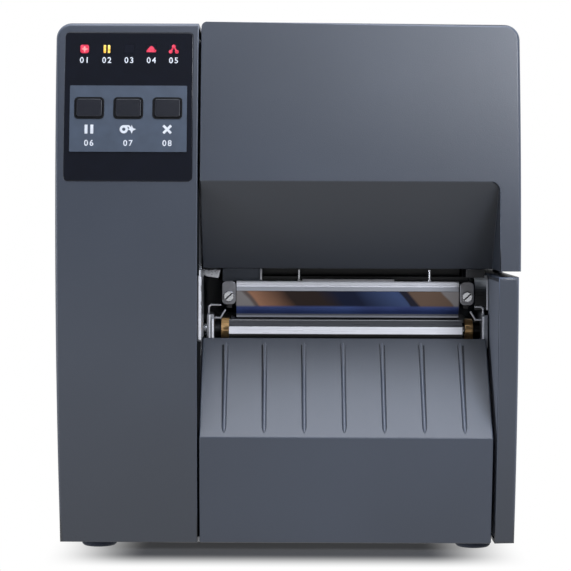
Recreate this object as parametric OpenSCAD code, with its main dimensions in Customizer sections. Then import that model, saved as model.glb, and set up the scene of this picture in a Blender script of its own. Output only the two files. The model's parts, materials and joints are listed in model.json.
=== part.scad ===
// Industrial tabletop label printer with a bi-fold media door.
// Frame: X to the right, the front faces -Y, Z up, origin at the centre of the footprint.

/* [Body] */
// Width over the covers
body_w = 242; // [236:1:260]
// Depth from the front nose to the rear panel
body_d = 432; // [420:1:460]
// Height from the table to the door top
body_h = 277; // [270:1:290]
// Radius of the bowed front, seen from the side
front_r = 650; // [500:10:900]
// Height of the foremost line of the front
nose_z = 150; // [140:1:160]
// Wall of the moulded covers
cover_t = 2.5; // [2:0.1:3.5]
// Radius of the long top edges
edge_r = 8; // [5:0.5:12]
// Height of the rubber feet
foot_h = 3.6; // [3:0.1:8]
// Radius of a rubber foot
foot_r = 9.3; // [7:0.1:9.5]
// Sideways distance of a foot from the edge of the body
foot_in_x = 21.5; // [21:0.5:30]
// Distance of a foot from the front or rear of the body
foot_in_y = 32; // [30:1:56]
// Thickness of the base pan
pan_t = 2.5; // [1.5:0.1:4]
// Thickness of the rear panel
rear_t = 3; // [2:0.1:4]
// Width of the electronics column, up to the seam with the door
column_w = 75; // [72:0.5:80]
// Thickness of the main frame plate
frame_t = 2; // [1.5:0.1:3]

/* [Door] */
// Wall of the media door
door_t = 3; // [2.5:0.1:4]
// Distance of the hood's front edge below the top
hood_drop = 83.4; // [76:0.1:92]
// Height of the fold between upper and lower door
fold_z = 145.85; // [142:0.05:150]
// Open gap between the two doors at the fold
fold_gap = 2.9; // [2.6:0.1:4]
// Fall of the door's top from the hinge to the free side
door_fall = 1; // [0:0.1:2]
// How far the hood slopes back
hood_back = 39; // [30:1:42]
// Width of the flush strip right of the hood
flange_w = 11; // [8:0.5:14]
// Radius of the door's hinge barrel
barrel_r = 3; // [2.8:0.1:3.4]
// Radius of the door hinge pins
pin_r = 1.5; // [1.2:0.1:1.8]
// Length of a door hinge pin
pin_len = 34; // [30:1:44]
// Length of a frame ear that carries the door
ear_len = 12; // [8:1:16]
// Distance of the ears from the front and the rear of the body
ear_in = 76; // [56:1:106]
// Radius of the fold hinge knuckles
knuckle_r = 1.7; // [1.6:0.05:1.75]
// Radius of the fold hinge pins
fold_pin_r = 0.8; // [0.6:0.05:1]
// Length of one fold hinge knuckle
knuckle_len = 10; // [8:1:16]
// Thickness of the lower door, outside to inside
lower_w = 10.4; // [10:0.1:12]
// Thickness of the lower door's inner liner
liner_t = 1.5; // [1:0.1:2.5]
// Length of the window
window_len = 210; // [150:5:240]
// Height of the door wall above and below the window
window_edge = 28; // [24:0.5:40]
// Thickness of the window pane
pane_t = 1.5; // [1:0.1:2]

/* [Panel] */
// Width of the cover left beside the overlay, both sides together
overlay_edge = 8.5; // [8:0.5:11]
// Height of the glossy overlay
overlay_h = 77.8; // [72:0.1:78]
// Distance of the overlay's centre below the top
overlay_drop = 44.9; // [44.5:0.1:49]
// Width of the overlay left on each side of the lighter key plate
plate_edge = 2.85; // [2.25:0.05:4.25]
// Height of the lighter key plate
plate_h = 34.5; // [32:0.5:37]
// Distance of the key plate's centre below the overlay's
plate_drop = 6.35; // [4.5:0.05:7.5]
// Width of a key cap
key_w = 13.4; // [11:0.1:14]
// Height of a key cap
key_h = 9.4; // [8:0.1:10]
// Height of the row of keys above the key plate's centre
key_rise = 5.5; // [5:0.5:8]
// Travel of a key
key_travel = 0.8; // [0.5:0.1:1]
// Side of a light lens
lens_w = 5; // [3.5:0.1:6]
// Height of the row of lights above the overlay's centre
lens_rise = 30.1; // [28.5:0.1:31.5]

/* [Bezel] */
// Height of the crease between lower front and slope
crease_z = 60.2; // [50:0.1:66]
// Height of the top of the slope
slope_top_z = 109.8; // [106:0.1:110]
// Depth of the top of the slope behind the nose
slope_back = 45; // [40:0.5:45.5]
// Number of ribs on the slope
rib_count = 7; // [3:1:9]
// Width of a rib at its top
rib_w = 1.9; // [1:0.1:3]
// Height of a rib at its top
rib_h = 1.8; // [0.6:0.1:2.4]

/* [Print mechanism] */
// Radius of the platen rubber
platen_r = 8; // [7:0.1:8.2]
// Radius of the platen shaft
shaft_r = 4; // [3:0.1:4.4]
// Distance of the platen axis behind the nose
platen_back = 64; // [63:0.5:66]
// Height of the platen axis
platen_z = 113; // [112:0.1:113.5]
// Distance of the tear bar's left end from the frame plate
tear_left = 14.6; // [14:0.1:16]
// Distance of the tear bar's right end from the lower door
tear_right = 14.6; // [14:0.1:16]
// Distance of the print head's pivot behind the nose
pivot_back = 144; // [142:0.5:148]
// Height of the print head's pivot
pivot_z = 152; // [151.5:0.1:154]
// Turn over which a pressure cam's spiral falls, in degrees
cam_turn = 90; // [80:1:90]
// Largest radius of a pressure cam
cam_r = 14.8; // [12:0.1:14.8]
// Number of fins on the heat sink
fin_count = 6; // [4:1:8]

/* [Media and ribbon] */
// Radius of a ribbon spindle
spindle_r = 12.5; // [11:0.1:12.7]
// Length of a ribbon spindle
spindle_len = 118; // [100:1:125]
// Height of the label roll hanger
hanger_z = 150; // [140:1:156]
// Depth of the label roll hanger, from front to rear of its bar
hanger_d = 36; // [24:1:44]
// Distance of the hanger's tip from the lower door
hanger_short = 12.5; // [8:0.5:24]
// Distance of the dancer roller's tip from the lower door
dancer_short = 17.5; // [8:0.5:30]
// Radius of the dancer roller
dancer_r = 6; // [4:0.5:8]

/* [Drive] */
// Radius of the platen pulley
platen_pulley_r = 14; // [11:0.5:15]
// Radius of the motor pulley
motor_pulley_r = 8; // [6:0.5:9]
// Radius of the take-up pulley
take_up_pulley_r = 18; // [14:0.5:20]
// Width of the drive belt
belt_w = 7; // [5:0.5:8]
// Thickness of the drive belt
belt_t = 1.4; // [1:0.1:2]
// Side of the motor's square body
motor_w = 56; // [42:1:58]
// Distance of the motor from the outside of the cover
motor_in = 11; // [8:0.5:16]

/* [Hidden] */
$fn = 48;
front_fn = 256;

// Clearances: running fit, open gap, and the cut-through of a hole
fit = 0.05;
clear = 0.3;
through = 1;

// Edges of the body
x_l = -body_w / 2;
x_r = body_w / 2;
y_f = -body_d / 2;
y_b = body_d / 2;
base_z = foot_h;
pan_z = base_z + pan_t;
inner_y_b = y_b - rear_t;
front_deep = 60;
foot_hub_r = foot_r - 3;

// Seam between left cover and door
seam_gap = 1.4;
frame_x = x_l + column_w;
cover_x = frame_x - seam_gap / 2;
door_x = frame_x + seam_gap / 2;
frame_left = frame_x - frame_t;
cover_top = body_h - 1;
cover_draft = 2;
frame_top = body_h - 9;
frame_inset = 6;
mouth_back = 40;
mouth_z = [100, 150];
return_t = 1.5;
return_x = cover_x - seam_gap / 2;

// Door hinge and fold
hinge = [door_x + barrel_r, body_h - barrel_r];
ear_r = barrel_r - 0.2;
notch_r = barrel_r + 0.4;
ear_drop = 18;
door_y_b = inner_y_b - clear;
upper_z = fold_z + fold_gap / 2;
lower_z = fold_z - fold_gap / 2;
lower_right = x_r - 1;
lower_left = lower_right - lower_w;
fold_x = x_r - 1.8;
ear_y = y_b - ear_in;
fold_y = ear_y - 20;
fold_notch_r = knuckle_r + 0.4;
knuckle_web = 0.8;
hood_x = x_r - flange_w;
hood_z = body_h - hood_drop;
hood_corner_r = 5;
window_z = (upper_z + body_h) / 2;
window_h = body_h - upper_z - 2 * window_edge;
window_y = 20;
window_r = 8;
pane_lap = 4;

// Control panel
panel_shift = 1.1;
panel_x = (x_l + cover_x) / 2 + panel_shift;
overlay_w = column_w - overlay_edge;
overlay_z = body_h - overlay_drop;
plate_w = overlay_w - 2 * plate_edge;
plate_z = overlay_z - plate_drop;
key_z = plate_z + key_rise;
key_pitch = plate_w / 3;
lens_z = overlay_z + lens_rise;
lens_pitch = overlay_w / 5.73;
overlay_seat = 0.5;
overlay_proud = 0.3;
plate_proud = 0.7;
overlay_r = 2.2;
plate_r = 0.6;
key_proud = 1.3;
key_lip = 1;
board_y = 9;
board_t = 1.6;
switch_top = 7.2;
lens_y = 6;

// Bezel
bezel_x = [door_x - clear, lower_left - 2];
bezel_lip = 2;
bezel_lip_h = 8;
rib_pitch = (bezel_x[1] - bezel_x[0]) / (rib_count + 0.31);
rib_shift = -0.85;

// Mechanism axes as [Y, Z]
platen_yz = [y_f + platen_back, platen_z];
pivot_yz = [y_f + pivot_back, pivot_z];
latch_yz = [pivot_yz[0] - 28, pivot_yz[1] + 14];
take_up_yz = [y_f + 124, body_h - 55];
supply_yz = [y_f + 221, body_h - 49];
hanger_yz = [y_b - 111, hanger_z];
dancer_yz = [y_f + 178, 62];
motor_yz = [y_f + 96, 50];
tear_x = [frame_x + tear_left, lower_left - tear_right];
tear_len = tear_x[1] - tear_x[0];
path_x = (tear_x[0] + tear_x[1]) / 2;
side_t = 1.8;
side_x = lower_left - side_t - 2.1;
bracket_x = [frame_x + 2.5, frame_x + 6.5];
bush_r = 6.2;
bush_neck_r = 5;
bush_flange = 4.6;
bush_off = 2.2;
tear_y = y_f + 47;
latch_r = 3;
belt_x = frame_left - 13;
pulley_side = 1;

// Upright plates and boards of the electronics side
bracket_plate_x = frame_left - 20;
bracket_plate_t = 2;
logic_x = frame_left - 18;

// Front of the body at height z, and the lean of the front there
function front_y(z, inset = 0) =
    y_f + front_r - sqrt(pow(front_r - inset, 2) - pow(z - nose_z, 2));
function front_lean(z) = asin((z - nose_z) / front_r);
function arc(c, r, a0, a1, n = 10) =
    [for (i = [0 : n]) let (a = a0 + (a1 - a0) * i / n) c + r * [cos(a), sin(a)]];
function unit(v) = v / norm(v);

// A rounded rectangle around the origin
function round_rect(w, h, r) = concat(
    arc([w / 2 - r, h / 2 - r], r, 0, 90, 6), arc([-w / 2 + r, h / 2 - r], r, 90, 180, 6),
    arc([-w / 2 + r, -h / 2 + r], r, 180, 270, 6), arc([w / 2 - r, -h / 2 + r], r, 270, 360, 6));

// Side sections, drawn as [Y, Z], run along X; front views, drawn as [X, Z], run along Y
module along_x(x0, x1) {
    translate([x0, 0, 0]) rotate([90, 0, 90]) linear_extrude(x1 - x0) children();
}
module along_y(y0, y1) {
    translate([0, y1, 0]) rotate([90, 0, 0]) linear_extrude(y1 - y0) children();
}
module rod_x(yz, r, x0, x1) {
    translate([x0, yz[0], yz[1]]) rotate([0, 90, 0]) cylinder(r = r, h = x1 - x0);
}
module rod_y(xz, r, y0, y1) {
    translate([xz[0], y0, xz[1]]) rotate([-90, 0, 0]) cylinder(r = r, h = y1 - y0);
}
module block(x, y, z) {
    translate([x[0], y[0], z[0]]) cube([x[1] - x[0], y[1] - y[0], z[1] - z[0]]);
}

// Everything behind the bowed front, between two heights
module front_zone(inset, z0, z1, y1) {
    intersection() {
        translate([y_f - through, z0]) square([y1 - y_f + through, z1 - z0]);
        translate([y_f + front_r, nose_z]) circle(r = front_r - inset, $fn = front_fn);
    }
}
module front_skin(outer, inner, z0, z1) {
    difference() {
        front_zone(outer, z0, z1, y_f + front_deep);
        front_zone(inner, z0 - through, z1 + through, y_f + front_deep + through);
    }
}
// A spot on the front of the left cover, with +Y pointing into the panel
module on_panel(x, z) {
    translate([x, front_y(z), z]) rotate([-front_lean(z), 0, 0]) children();
}
// The side of a slanted line that lies towards +Y and up, moved in by a wall
module behind_line(a, b, wall) {
    d = b - a;
    n = unit([-d[1], d[0]]);
    p = a + n * wall - 3 * d;
    q = b + n * wall + 3 * d;
    polygon([p, q, q + [body_d, 0], p + [body_d, 0]]);
}

// Base and frame

module base_pan() {
    color("dimgray") {
        y = [front_y(base_z) + cover_t + 1, inner_y_b];
        x = [x_l + cover_t + cover_draft + clear, lower_left - 1.5];
        block(x, y, [base_z, pan_z]);
        block([x[1] - pan_t, x[1]], [leg_back + 2, y[1]], [base_z, pan_z + 10]);
    }
}

module rubber_feet() {
    color("black")
        for (sx = [-1, 1], sy = [-1, 1])
            translate([sx * (x_r - foot_in_x), sy * (y_b - foot_in_y), 0])
                rotate_extrude()
                    polygon([[2, 1], [3.5, 0], [foot_r - 1, 0], [foot_r, 1],
                        [foot_r - 0.5, foot_h - 0.5], [foot_hub_r, foot_h - 0.5],
                        [foot_hub_r, foot_h], [2, foot_h]]);
}

module ear_outline() {
    translate(hinge) circle(r = ear_r);
    polygon([[frame_left, frame_top - ear_drop], [frame_x, frame_top - ear_drop],
        hinge + [0, -0.6 * ear_r], hinge + [-0.7 * ear_r, 0], [frame_left, frame_top]]);
}

module main_frame() {
    color("silver") {
        along_x(frame_left, frame_x) difference() {
            front_zone(frame_inset, pan_z, frame_top, inner_y_b);
            translate([y_f, mouth_z[0]]) square([mouth_back, mouth_z[1] - mouth_z[0]]);
            translate(platen_yz) circle(r = shaft_r + 2);
            translate(take_up_yz) circle(r = shaft_r + fit);
            translate(supply_yz) circle(r = shaft_r + fit);
            translate(pivot_yz) circle(r = shaft_r + fit);
            translate(latch_yz) circle(r = latch_r + fit);
            translate(dancer_yz) circle(r = shaft_r + fit);
        }
        block([frame_x - through, frame_x + 14], [slope_high[0] + 2, inner_y_b - 4],
            [pan_z, pan_z + frame_t]);
        // Strip that shows at the left of the label mouth
        block([frame_x - 1, frame_x + 1.1], [y_f + 14, y_f + mouth_back + 2],
            [slope_top_z + 0.6, upper_z - 0.5]);
        for (s = [-1, 1])
            difference() {
                along_y(s * ear_y - ear_len / 2, s * ear_y + ear_len / 2) ear_outline();
                rod_y(hinge, pin_r + fit, s * ear_y - ear_len, s * ear_y + ear_len);
            }
    }
}

// Left cover and control panel

function cover_outline(inset) = concat(
    arc([x_l + edge_r, cover_top - edge_r], edge_r - inset, 180, 90),
    [[cover_x + (inset > 0 ? through : 0), cover_top - inset],
     [cover_x + (inset > 0 ? through : 0), base_z - (inset > 0 ? through : 0)],
     [x_l + cover_draft + inset, base_z - (inset > 0 ? through : 0)]]);

vent_count = 9;
vent_pitch = 9;
vent_w = 4;
vent_y = y_b - 136;
vent_z = [34, 74];

module left_cover() {
    color("slategray") difference() {
        union() {
            difference() {
                intersection() {
                    along_y(y_f - through, door_y_b) polygon(cover_outline(0));
                    along_x(x_l - through, cover_x + through) front_zone(0, 0, body_h, door_y_b);
                }
                intersection() {
                    along_y(y_f - through, inner_y_b) polygon(cover_outline(cover_t));
                    along_x(x_l, cover_x + 2 * through) front_zone(cover_t, 0, body_h, inner_y_b);
                }
            }
            // Return wall beside the label mouth
            intersection() {
                along_x(return_x - return_t, return_x) front_zone(cover_t - clear,
                    mouth_z[0] + clear, mouth_z[1] - clear, y_f + mouth_back - clear);
                block([x_l, x_r], [y_f, y_f + mouth_back], [0, body_h]);
            }
            // Bosses that carry the panel board
            for (sx = [-1, 1], sz = [-1, 1])
                on_panel(panel_x, overlay_z)
                    translate([sx * (overlay_w / 2 - 3.5), 1.6, sz * (overlay_h / 2 - 5)])
                        rotate([-90, 0, 0]) cylinder(r = 3, h = board_y - 1.6);
        }
        // Seat of the overlay
        intersection() {
            along_y(y_f - through, y_f + front_deep)
                translate([panel_x, overlay_z])
                    polygon(round_rect(overlay_w + clear, overlay_h + clear, overlay_r));
            along_x(x_l, cover_x) front_skin(-through, overlay_seat, base_z, body_h);
        }
        for (i = [-1 : 1])
            on_panel(panel_x + i * key_pitch, key_z)
                cube([key_w + 2 * clear, 4 * cover_t, key_h + 2 * clear], center = true);
        for (i = [-2 : 2])
            on_panel(panel_x + i * lens_pitch, lens_z)
                cube([lens_w + 2 * clear, 4 * cover_t, lens_w + 2 * clear], center = true);
        // Vent slots low on the left side
        for (i = [0 : vent_count - 1])
            block([x_l - through, x_l + 3 * cover_t],
                [vent_y + i * vent_pitch, vent_y + i * vent_pitch + vent_w], vent_z);
    }
}

module panel_layer(w, h, r, z, outer, inner, key_gap, lens_gap) {
    difference() {
        intersection() {
            along_y(y_f - 2, y_f + front_deep) translate([panel_x, z]) polygon(round_rect(w, h, r));
            along_x(x_l, cover_x) front_skin(outer, inner, z - h, z + h);
        }
        for (i = [-1 : 1])
            on_panel(panel_x + i * key_pitch, key_z)
                cube([key_w + 2 * key_gap, 4 * cover_t, key_h + 2 * key_gap], center = true);
        for (i = [-2 : 2])
            on_panel(panel_x + i * lens_pitch, lens_z)
                cube([lens_w + 2 * lens_gap, 4 * cover_t, lens_w + 2 * lens_gap], center = true);
    }
}

module panel_overlay() {
    color("#1e2028")
        panel_layer(overlay_w, overlay_h, overlay_r, overlay_z, -overlay_proud, overlay_seat, clear, 0.1);
}

module key_plate() {
    color("#505a68")
        panel_layer(plate_w, plate_h, plate_r, plate_z, -plate_proud, -overlay_proud, 3 * clear, clear);
}

module indicator_lenses() {
    color("crimson")
        for (i = [-2 : 2])
            on_panel(panel_x + i * lens_pitch, lens_z)
                block([-lens_w / 2, lens_w / 2], [-overlay_proud - 0.1, lens_y], [-lens_w / 2, lens_w / 2]);
}

module panel_board() {
    color("darkgreen") {
        on_panel(panel_x, overlay_z)
            translate([0, board_y + board_t / 2, 0])
                cube([overlay_w - 4, board_t, overlay_h - 4], center = true);
        for (i = [-1 : 1])
            on_panel(panel_x + i * key_pitch, key_z) {
                block([-3, 3], [switch_top + 0.5, board_y + 0.3], [-3, 3]);
                rotate([-90, 0, 0]) translate([0, 0, switch_top]) cylinder(r = 1.6, h = 1);
            }
        for (i = [-2 : 2])
            on_panel(panel_x + i * lens_pitch, lens_z)
                block([-1.6, 1.6], [lens_y + 0.4, board_y], [-1.6, 1.6]);
    }
}

module key(i) {
    on_panel(panel_x + i * key_pitch, key_z) {
        block([-key_w / 2, key_w / 2], [-key_proud, cover_t + clear], [-key_h / 2, key_h / 2]);
        block([-key_w / 2 - key_lip, key_w / 2 + key_lip], [cover_t + 0.2, cover_t + 1.2],
            [-key_h / 2 - key_lip, key_h / 2 + key_lip]);
        rotate([-90, 0, 0]) cylinder(r = 2, h = switch_top - key_travel - 0.2);
    }
}
module pause_key() color("#20222a") key(-1);
module feed_key() color("#20222a") key(0);
module cancel_key() color("#20222a") key(1);

// Front bezel

slope_low = [front_y(crease_z), crease_z];
slope_high = [y_f + slope_back, slope_top_z];
slope_len = norm(slope_high - slope_low);
slope_angle = atan2(slope_high[1] - slope_low[1], slope_high[0] - slope_low[0]);
rib_low = 3;
rib_len = slope_len - rib_low - 4.8;
rib_x = (bezel_x[0] + bezel_x[1]) / 2 + rib_shift;

module bezel_region(inset, y1) {
    intersection() {
        front_zone(inset, base_z - (inset > 0 ? through : 0), slope_top_z, y1);
        behind_line(slope_low, slope_high, -inset);
    }
}

module slope_rib() {
    intersection() {
        linear_extrude(rib_h) polygon([[0, 0], [rib_w / 2, rib_len], [-rib_w / 2, rib_len]]);
        translate([-rib_w, 0, 0]) rotate([90, 0, 90])
            linear_extrude(2 * rib_w) polygon([[0, 0], [rib_len, 0], [rib_len, rib_h]]);
    }
}

module front_bezel() {
    color("slategray") {
        difference() {
            along_x(bezel_x[0], bezel_x[1]) bezel_region(0, slope_high[0]);
            // Room for the base pan under the side walls
            along_x(bezel_x[0] - through, bezel_x[1] + through) intersection() {
                bezel_region(cover_t, slope_high[0] + through);
                translate([y_f, -through]) square([body_d, pan_z + clear + through]);
            }
            along_x(bezel_x[0] + cover_t, bezel_x[1] - cover_t) {
                bezel_region(cover_t, slope_high[0] - bezel_lip);
                intersection() {
                    bezel_region(cover_t, slope_high[0] + through);
                    translate([y_f, -through]) square([body_d, slope_top_z - bezel_lip_h]);
                }
            }
        }
        for (i = [0 : rib_count - 1])
            translate([rib_x + (i - (rib_count - 1) / 2) * rib_pitch, slope_low[0], slope_low[1]])
                rotate([slope_angle, 0, 0]) translate([0, rib_low, 0]) slope_rib();
    }
}

// Media door

hood_high = [front_y(hood_z), hood_z];
hood_low = [y_f + hood_back, upper_z];
corner = [x_r - edge_r, body_h - door_fall - edge_r];
ear_span = ear_len / 2 + clear;
pin_half = pin_len / 2;
fold_span = 1.5 * knuckle_len + 2 * clear;

function door_profile() = concat(
    arc(hinge, barrel_r, asin((barrel_r - door_t) / barrel_r), -270, 20), arc(corner, edge_r, 90, 0),
    [[x_r, upper_z], [x_r - door_t, upper_z]], arc(corner, edge_r - door_t, 0, 90));
function door_outline() = concat(
    arc(hinge, barrel_r, 180, 90), arc(corner, edge_r, 90, 0), [[x_r, upper_z], [door_x, upper_z]]);
function hood_corner() = concat([[hood_x + through, hood_z + through]],
    [[hood_x - hood_corner_r, hood_z + through]],
    arc([hood_x - hood_corner_r, hood_z - hood_corner_r], hood_corner_r, 90, 0, 6),
    [[hood_x + through, hood_z - hood_corner_r]]);

module hood_section() {
    difference() {
        intersection() {
            front_zone(0, upper_z, body_h, y_f + front_deep);
            behind_line(hood_high, hood_low, 0);
        }
        intersection() {
            front_zone(door_t, upper_z - through, body_h - door_t, y_f + front_deep + through);
            behind_line(hood_high, hood_low, door_t);
        }
    }
}
// The hollow in front of the hood, closed at its back by the hood's slope
module hood_fill() {
    difference() {
        front_zone(0, upper_z, hood_z + through, y_f + front_deep);
        behind_line(hood_high, hood_low, door_t / 2);
    }
}
module fold_knuckle(y, up) {
    rod_y([fold_x, fold_z], knuckle_r, y - knuckle_len / 2, y + knuckle_len / 2);
    z = fold_z + up * (fold_notch_r + 0.6);
    block([fold_x - knuckle_web, fold_x + knuckle_web], [y - knuckle_len / 2, y + knuckle_len / 2],
        [min(z, fold_z), max(z, fold_z)]);
}
module fold_notches(s) {
    rod_y([fold_x, fold_z], fold_notch_r, s * fold_y - fold_span, s * fold_y + fold_span);
}
module fold_bores(s) {
    rod_y([fold_x, fold_z], fold_pin_r + fit, s * fold_y - 2 * fold_span, s * fold_y + 2 * fold_span);
}

module upper_door() {
    color("slategray") difference() {
        union() {
            difference() {
                union() {
                    intersection() {
                        along_y(y_f - through, door_y_b) polygon(door_profile());
                        along_x(door_x - through, x_r + through)
                            front_zone(0, 0, body_h + through, door_y_b);
                    }
                    intersection() {
                        along_y(y_f - through, y_f + front_deep) polygon(door_outline());
                        union() {
                            along_x(door_x, hood_x + through / 2) hood_section();
                            along_x(hood_x, x_r) front_skin(0, door_t, upper_z, body_h);
                            along_x(hood_x, hood_x + door_t) hood_fill();
                        }
                    }
                    intersection() {
                        along_y(y_f - through, y_f + front_deep) polygon(hood_corner());
                        along_x(door_x, hood_x + through) hood_fill();
                    }
                }
                for (s = [-1, 1])
                    fold_notches(s);
            }
            for (s = [-1, 1])
                fold_knuckle(s * fold_y, 1);
        }
        for (s = [-1, 1]) {
            fold_bores(s);
            rod_y(hinge, notch_r, s * ear_y - ear_span, s * ear_y + ear_span);
            rod_y(hinge, pin_r + fit, s * ear_y - pin_half, s * ear_y + pin_half);
        }
        translate([x_r - 2 * door_t, window_y, window_z]) rotate([90, 0, 90])
            linear_extrude(3 * door_t) polygon(round_rect(window_len, window_h, window_r));
    }
}

module door_window() {
    color("dimgray", 0.6)
        translate([x_r - door_t - pane_t, window_y, window_z]) rotate([90, 0, 90])
            linear_extrude(pane_t)
                polygon(round_rect(window_len + 2 * pane_lap, window_h + 2 * pane_lap, window_r));
}

module door_hinge_pins() {
    color("silver")
        for (s = [-1, 1])
            rod_y(hinge, pin_r, s * ear_y - pin_half, s * ear_y + pin_half);
}

latch_w = 10;
latch_x = hood_x - 14;
latch_drop = 4.6;

module door_latch() {
    color("black") {
        block([latch_x, latch_x + latch_w], [hood_low[0], hood_low[0] + 3.8],
            [upper_z - latch_drop, upper_z]);
        block([latch_x, latch_x + latch_w], [hood_low[0] + 2, hood_low[0] + latch_drop],
            [upper_z - latch_drop, upper_z - latch_drop + 2]);
    }
}

module lower_door() {
    color("slategray") difference() {
        union() {
            difference() {
                along_x(lower_left, lower_right) front_zone(0, base_z, lower_z, door_y_b);
                along_x(lower_left - through, lower_right - cover_t)
                    front_zone(cover_t, base_z + cover_t, lower_z - cover_t, door_y_b - cover_t);
                for (s = [-1, 1])
                    fold_notches(s);
            }
            for (s = [-1, 1], t = [-1, 1])
                fold_knuckle(s * fold_y + t * (knuckle_len + clear), -1);
        }
        for (s = [-1, 1])
            fold_bores(s);
    }
}

liner_in = cover_t + 0.1;

module lower_door_liner() {
    color("gray")
        along_x(lower_left, lower_left + liner_t)
            front_zone(liner_in, base_z + liner_in, lower_z - liner_in, door_y_b - liner_in);
}

module fold_hinge_pins() {
    color("silver")
        for (s = [-1, 1])
            rod_y([fold_x, fold_z], fold_pin_r, s * fold_y - fold_span, s * fold_y + fold_span);
}

// Platen and label mouth

bracket_low = platen_z - 15;
bracket_high = platen_z + 9;
bracket_front = platen_yz[0] - 14;
bracket_back = platen_yz[0] + 14;
leg_back = bracket_back + 42;
leg_drop = 38;
wire_t = 1;
wire_rise = [4.1, 4.9];
wire_drop = 2.1;
wire_kink = [2.5, 4.1];
// The right wire stands just in front of the bent guard sheet
wire_y = [bracket_front + 3, bracket_front + 0.8];
guard_y = bracket_front + 2;
guard_z = [platen_z + 11.5, platen_z + 30.5];
guard_bend = platen_z + 23;

module platen_bracket_left() {
    color("lightgray") {
        along_x(bracket_x[0], bracket_x[1]) difference() {
            translate([bracket_front, bracket_low])
                square([bracket_back - bracket_front, bracket_high - bracket_low]);
            translate(platen_yz) circle(r = bush_neck_r + fit);
        }
        block([frame_x, bracket_x[0] + 0.5], [bracket_front + 6, bracket_back - 4],
            [bracket_low, bracket_low + 5]);
        block([bracket_x[1] - 1.7, bracket_x[1]], [bracket_front - 2, bracket_front + 0.5],
            [bracket_low + 6, bracket_high - 2]);
    }
}

module mechanism_side_plate() {
    color("lightgray") {
        along_x(side_x, side_x + side_t) difference() {
            polygon([[bracket_front, bracket_low], [bracket_front, bracket_high - 0.5],
                [bracket_back, bracket_high - 0.5], [bracket_back, bracket_low],
                [leg_back, bracket_low - leg_drop], [leg_back, pan_z],
                [bracket_front + 16, pan_z], [bracket_front + 16, bracket_low - 14]]);
            translate(platen_yz) circle(r = bush_neck_r + fit);
        }
        block([side_x, side_x + 3.2], [bracket_front - 2, bracket_front + 0.2],
            [bracket_low + 6, bracket_high]);
        // Bent sheet that closes the mouth on the right
        along_x(side_x, side_x + side_t) polygon([[guard_y + 1, bracket_high - 3],
            [guard_y + 1, guard_z[0]], [guard_y + 6, guard_z[1]], [guard_y + 14, guard_z[1]],
            [bracket_back, bracket_high - 3]]);
        along_x(head_side_x[1] + 0.5, lower_left - 0.4) polygon([[guard_y, guard_z[0]],
            [guard_y, guard_bend], [guard_y + 1.5, guard_bend + 5], [guard_y + 5, guard_z[1]],
            [guard_y + 6.2, guard_z[1] - 0.8], [guard_y + 2.7, guard_bend + 4.4],
            [guard_y + 1.2, guard_bend], [guard_y + 1.2, guard_z[0]]]);
    }
}

module bushing(x_flange, x_neck) {
    difference() {
        union() {
            rod_x(platen_yz, bush_r, min(x_flange), max(x_flange));
            rod_x(platen_yz, bush_neck_r, min(x_neck), max(x_neck));
        }
        rod_x(platen_yz, shaft_r + fit, min(x_flange) - 20, max(x_flange) + 20);
    }
}
module platen_bushings() {
    right = tear_x[1] + bush_off;
    color("peru") {
        bushing([tear_x[0] - bush_flange, tear_x[0]], [bracket_x[0], tear_x[0] - bush_flange + 1]);
        bushing([right, right + bush_flange], [right + bush_flange - 1, side_x + side_t]);
    }
}

tear_web = [tear_y + 3, tear_y + 5.5];
tear_low = bracket_low + 5.5;

module tear_bar() {
    color("gainsboro") {
        along_x(tear_x[0], tear_x[1])
            polygon([[tear_y, platen_z - 1.9], [tear_y, platen_z + 2.4], [tear_y + 3.2, platen_z + 6],
                [tear_web[1], platen_z + 6], [tear_web[1], tear_low], [tear_web[0], tear_low],
                [tear_web[0], platen_z - 1.9]]);
        block([bracket_x[1], tear_x[0] + 0.5], tear_web, [tear_low, tear_low + 3]);
        block([tear_x[1] - 0.5, side_x], tear_web, [tear_low, tear_low + 3]);
    }
}

module strip_2d(a, b) {
    translate(a) rotate(atan2(b[1] - a[1], b[0] - a[0]))
        translate([-wire_t / 2, -wire_t / 2]) square([norm(b - a) + wire_t, wire_t]);
}
module wire_2d(points) {
    for (i = [0 : len(points) - 2])
        strip_2d(points[i], points[i + 1]);
}
// An upper wire that stands on its bracket and a lower one that springs from the bracket's side
module wire_pair(s, x_stand, x_side, x_end, top) {
    wire_2d([[x_stand, top + wire_t / 2], [x_stand + s * 0.2, top + wire_rise[0]],
        [x_stand + s * 1.4, top + wire_rise[1]], [x_end, top + wire_rise[1]]]);
    wire_2d([[x_side + s * wire_t / 2, top - wire_drop], [x_end, top - wire_drop],
        [x_end + s * wire_kink[0], top - wire_drop + wire_kink[1]]]);
}
module guide_wires() {
    top = bracket_high;
    color("gray") {
        along_y(wire_y[0], wire_y[0] + wire_t)
            wire_pair(1, bracket_x[0] + 0.9, bracket_x[1], head_side_x[0] - 0.8, top);
        along_y(wire_y[1], wire_y[1] + wire_t)
            wire_pair(-1, side_x + 0.9, side_x, head_side_x[1] + 0.8, top - 0.5);
    }
}

module platen_shaft() {
    color("silver") rod_x(platen_yz, shaft_r, belt_x - pulley_side, side_x + side_t);
}
module platen_rubber() {
    color("#202020") difference() {
        rod_x(platen_yz, platen_r, tear_x[0] + 0.8, tear_x[1] - 0.8);
        rod_x(platen_yz, shaft_r, tear_x[0], tear_x[1]);
    }
}

// Print head

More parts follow.
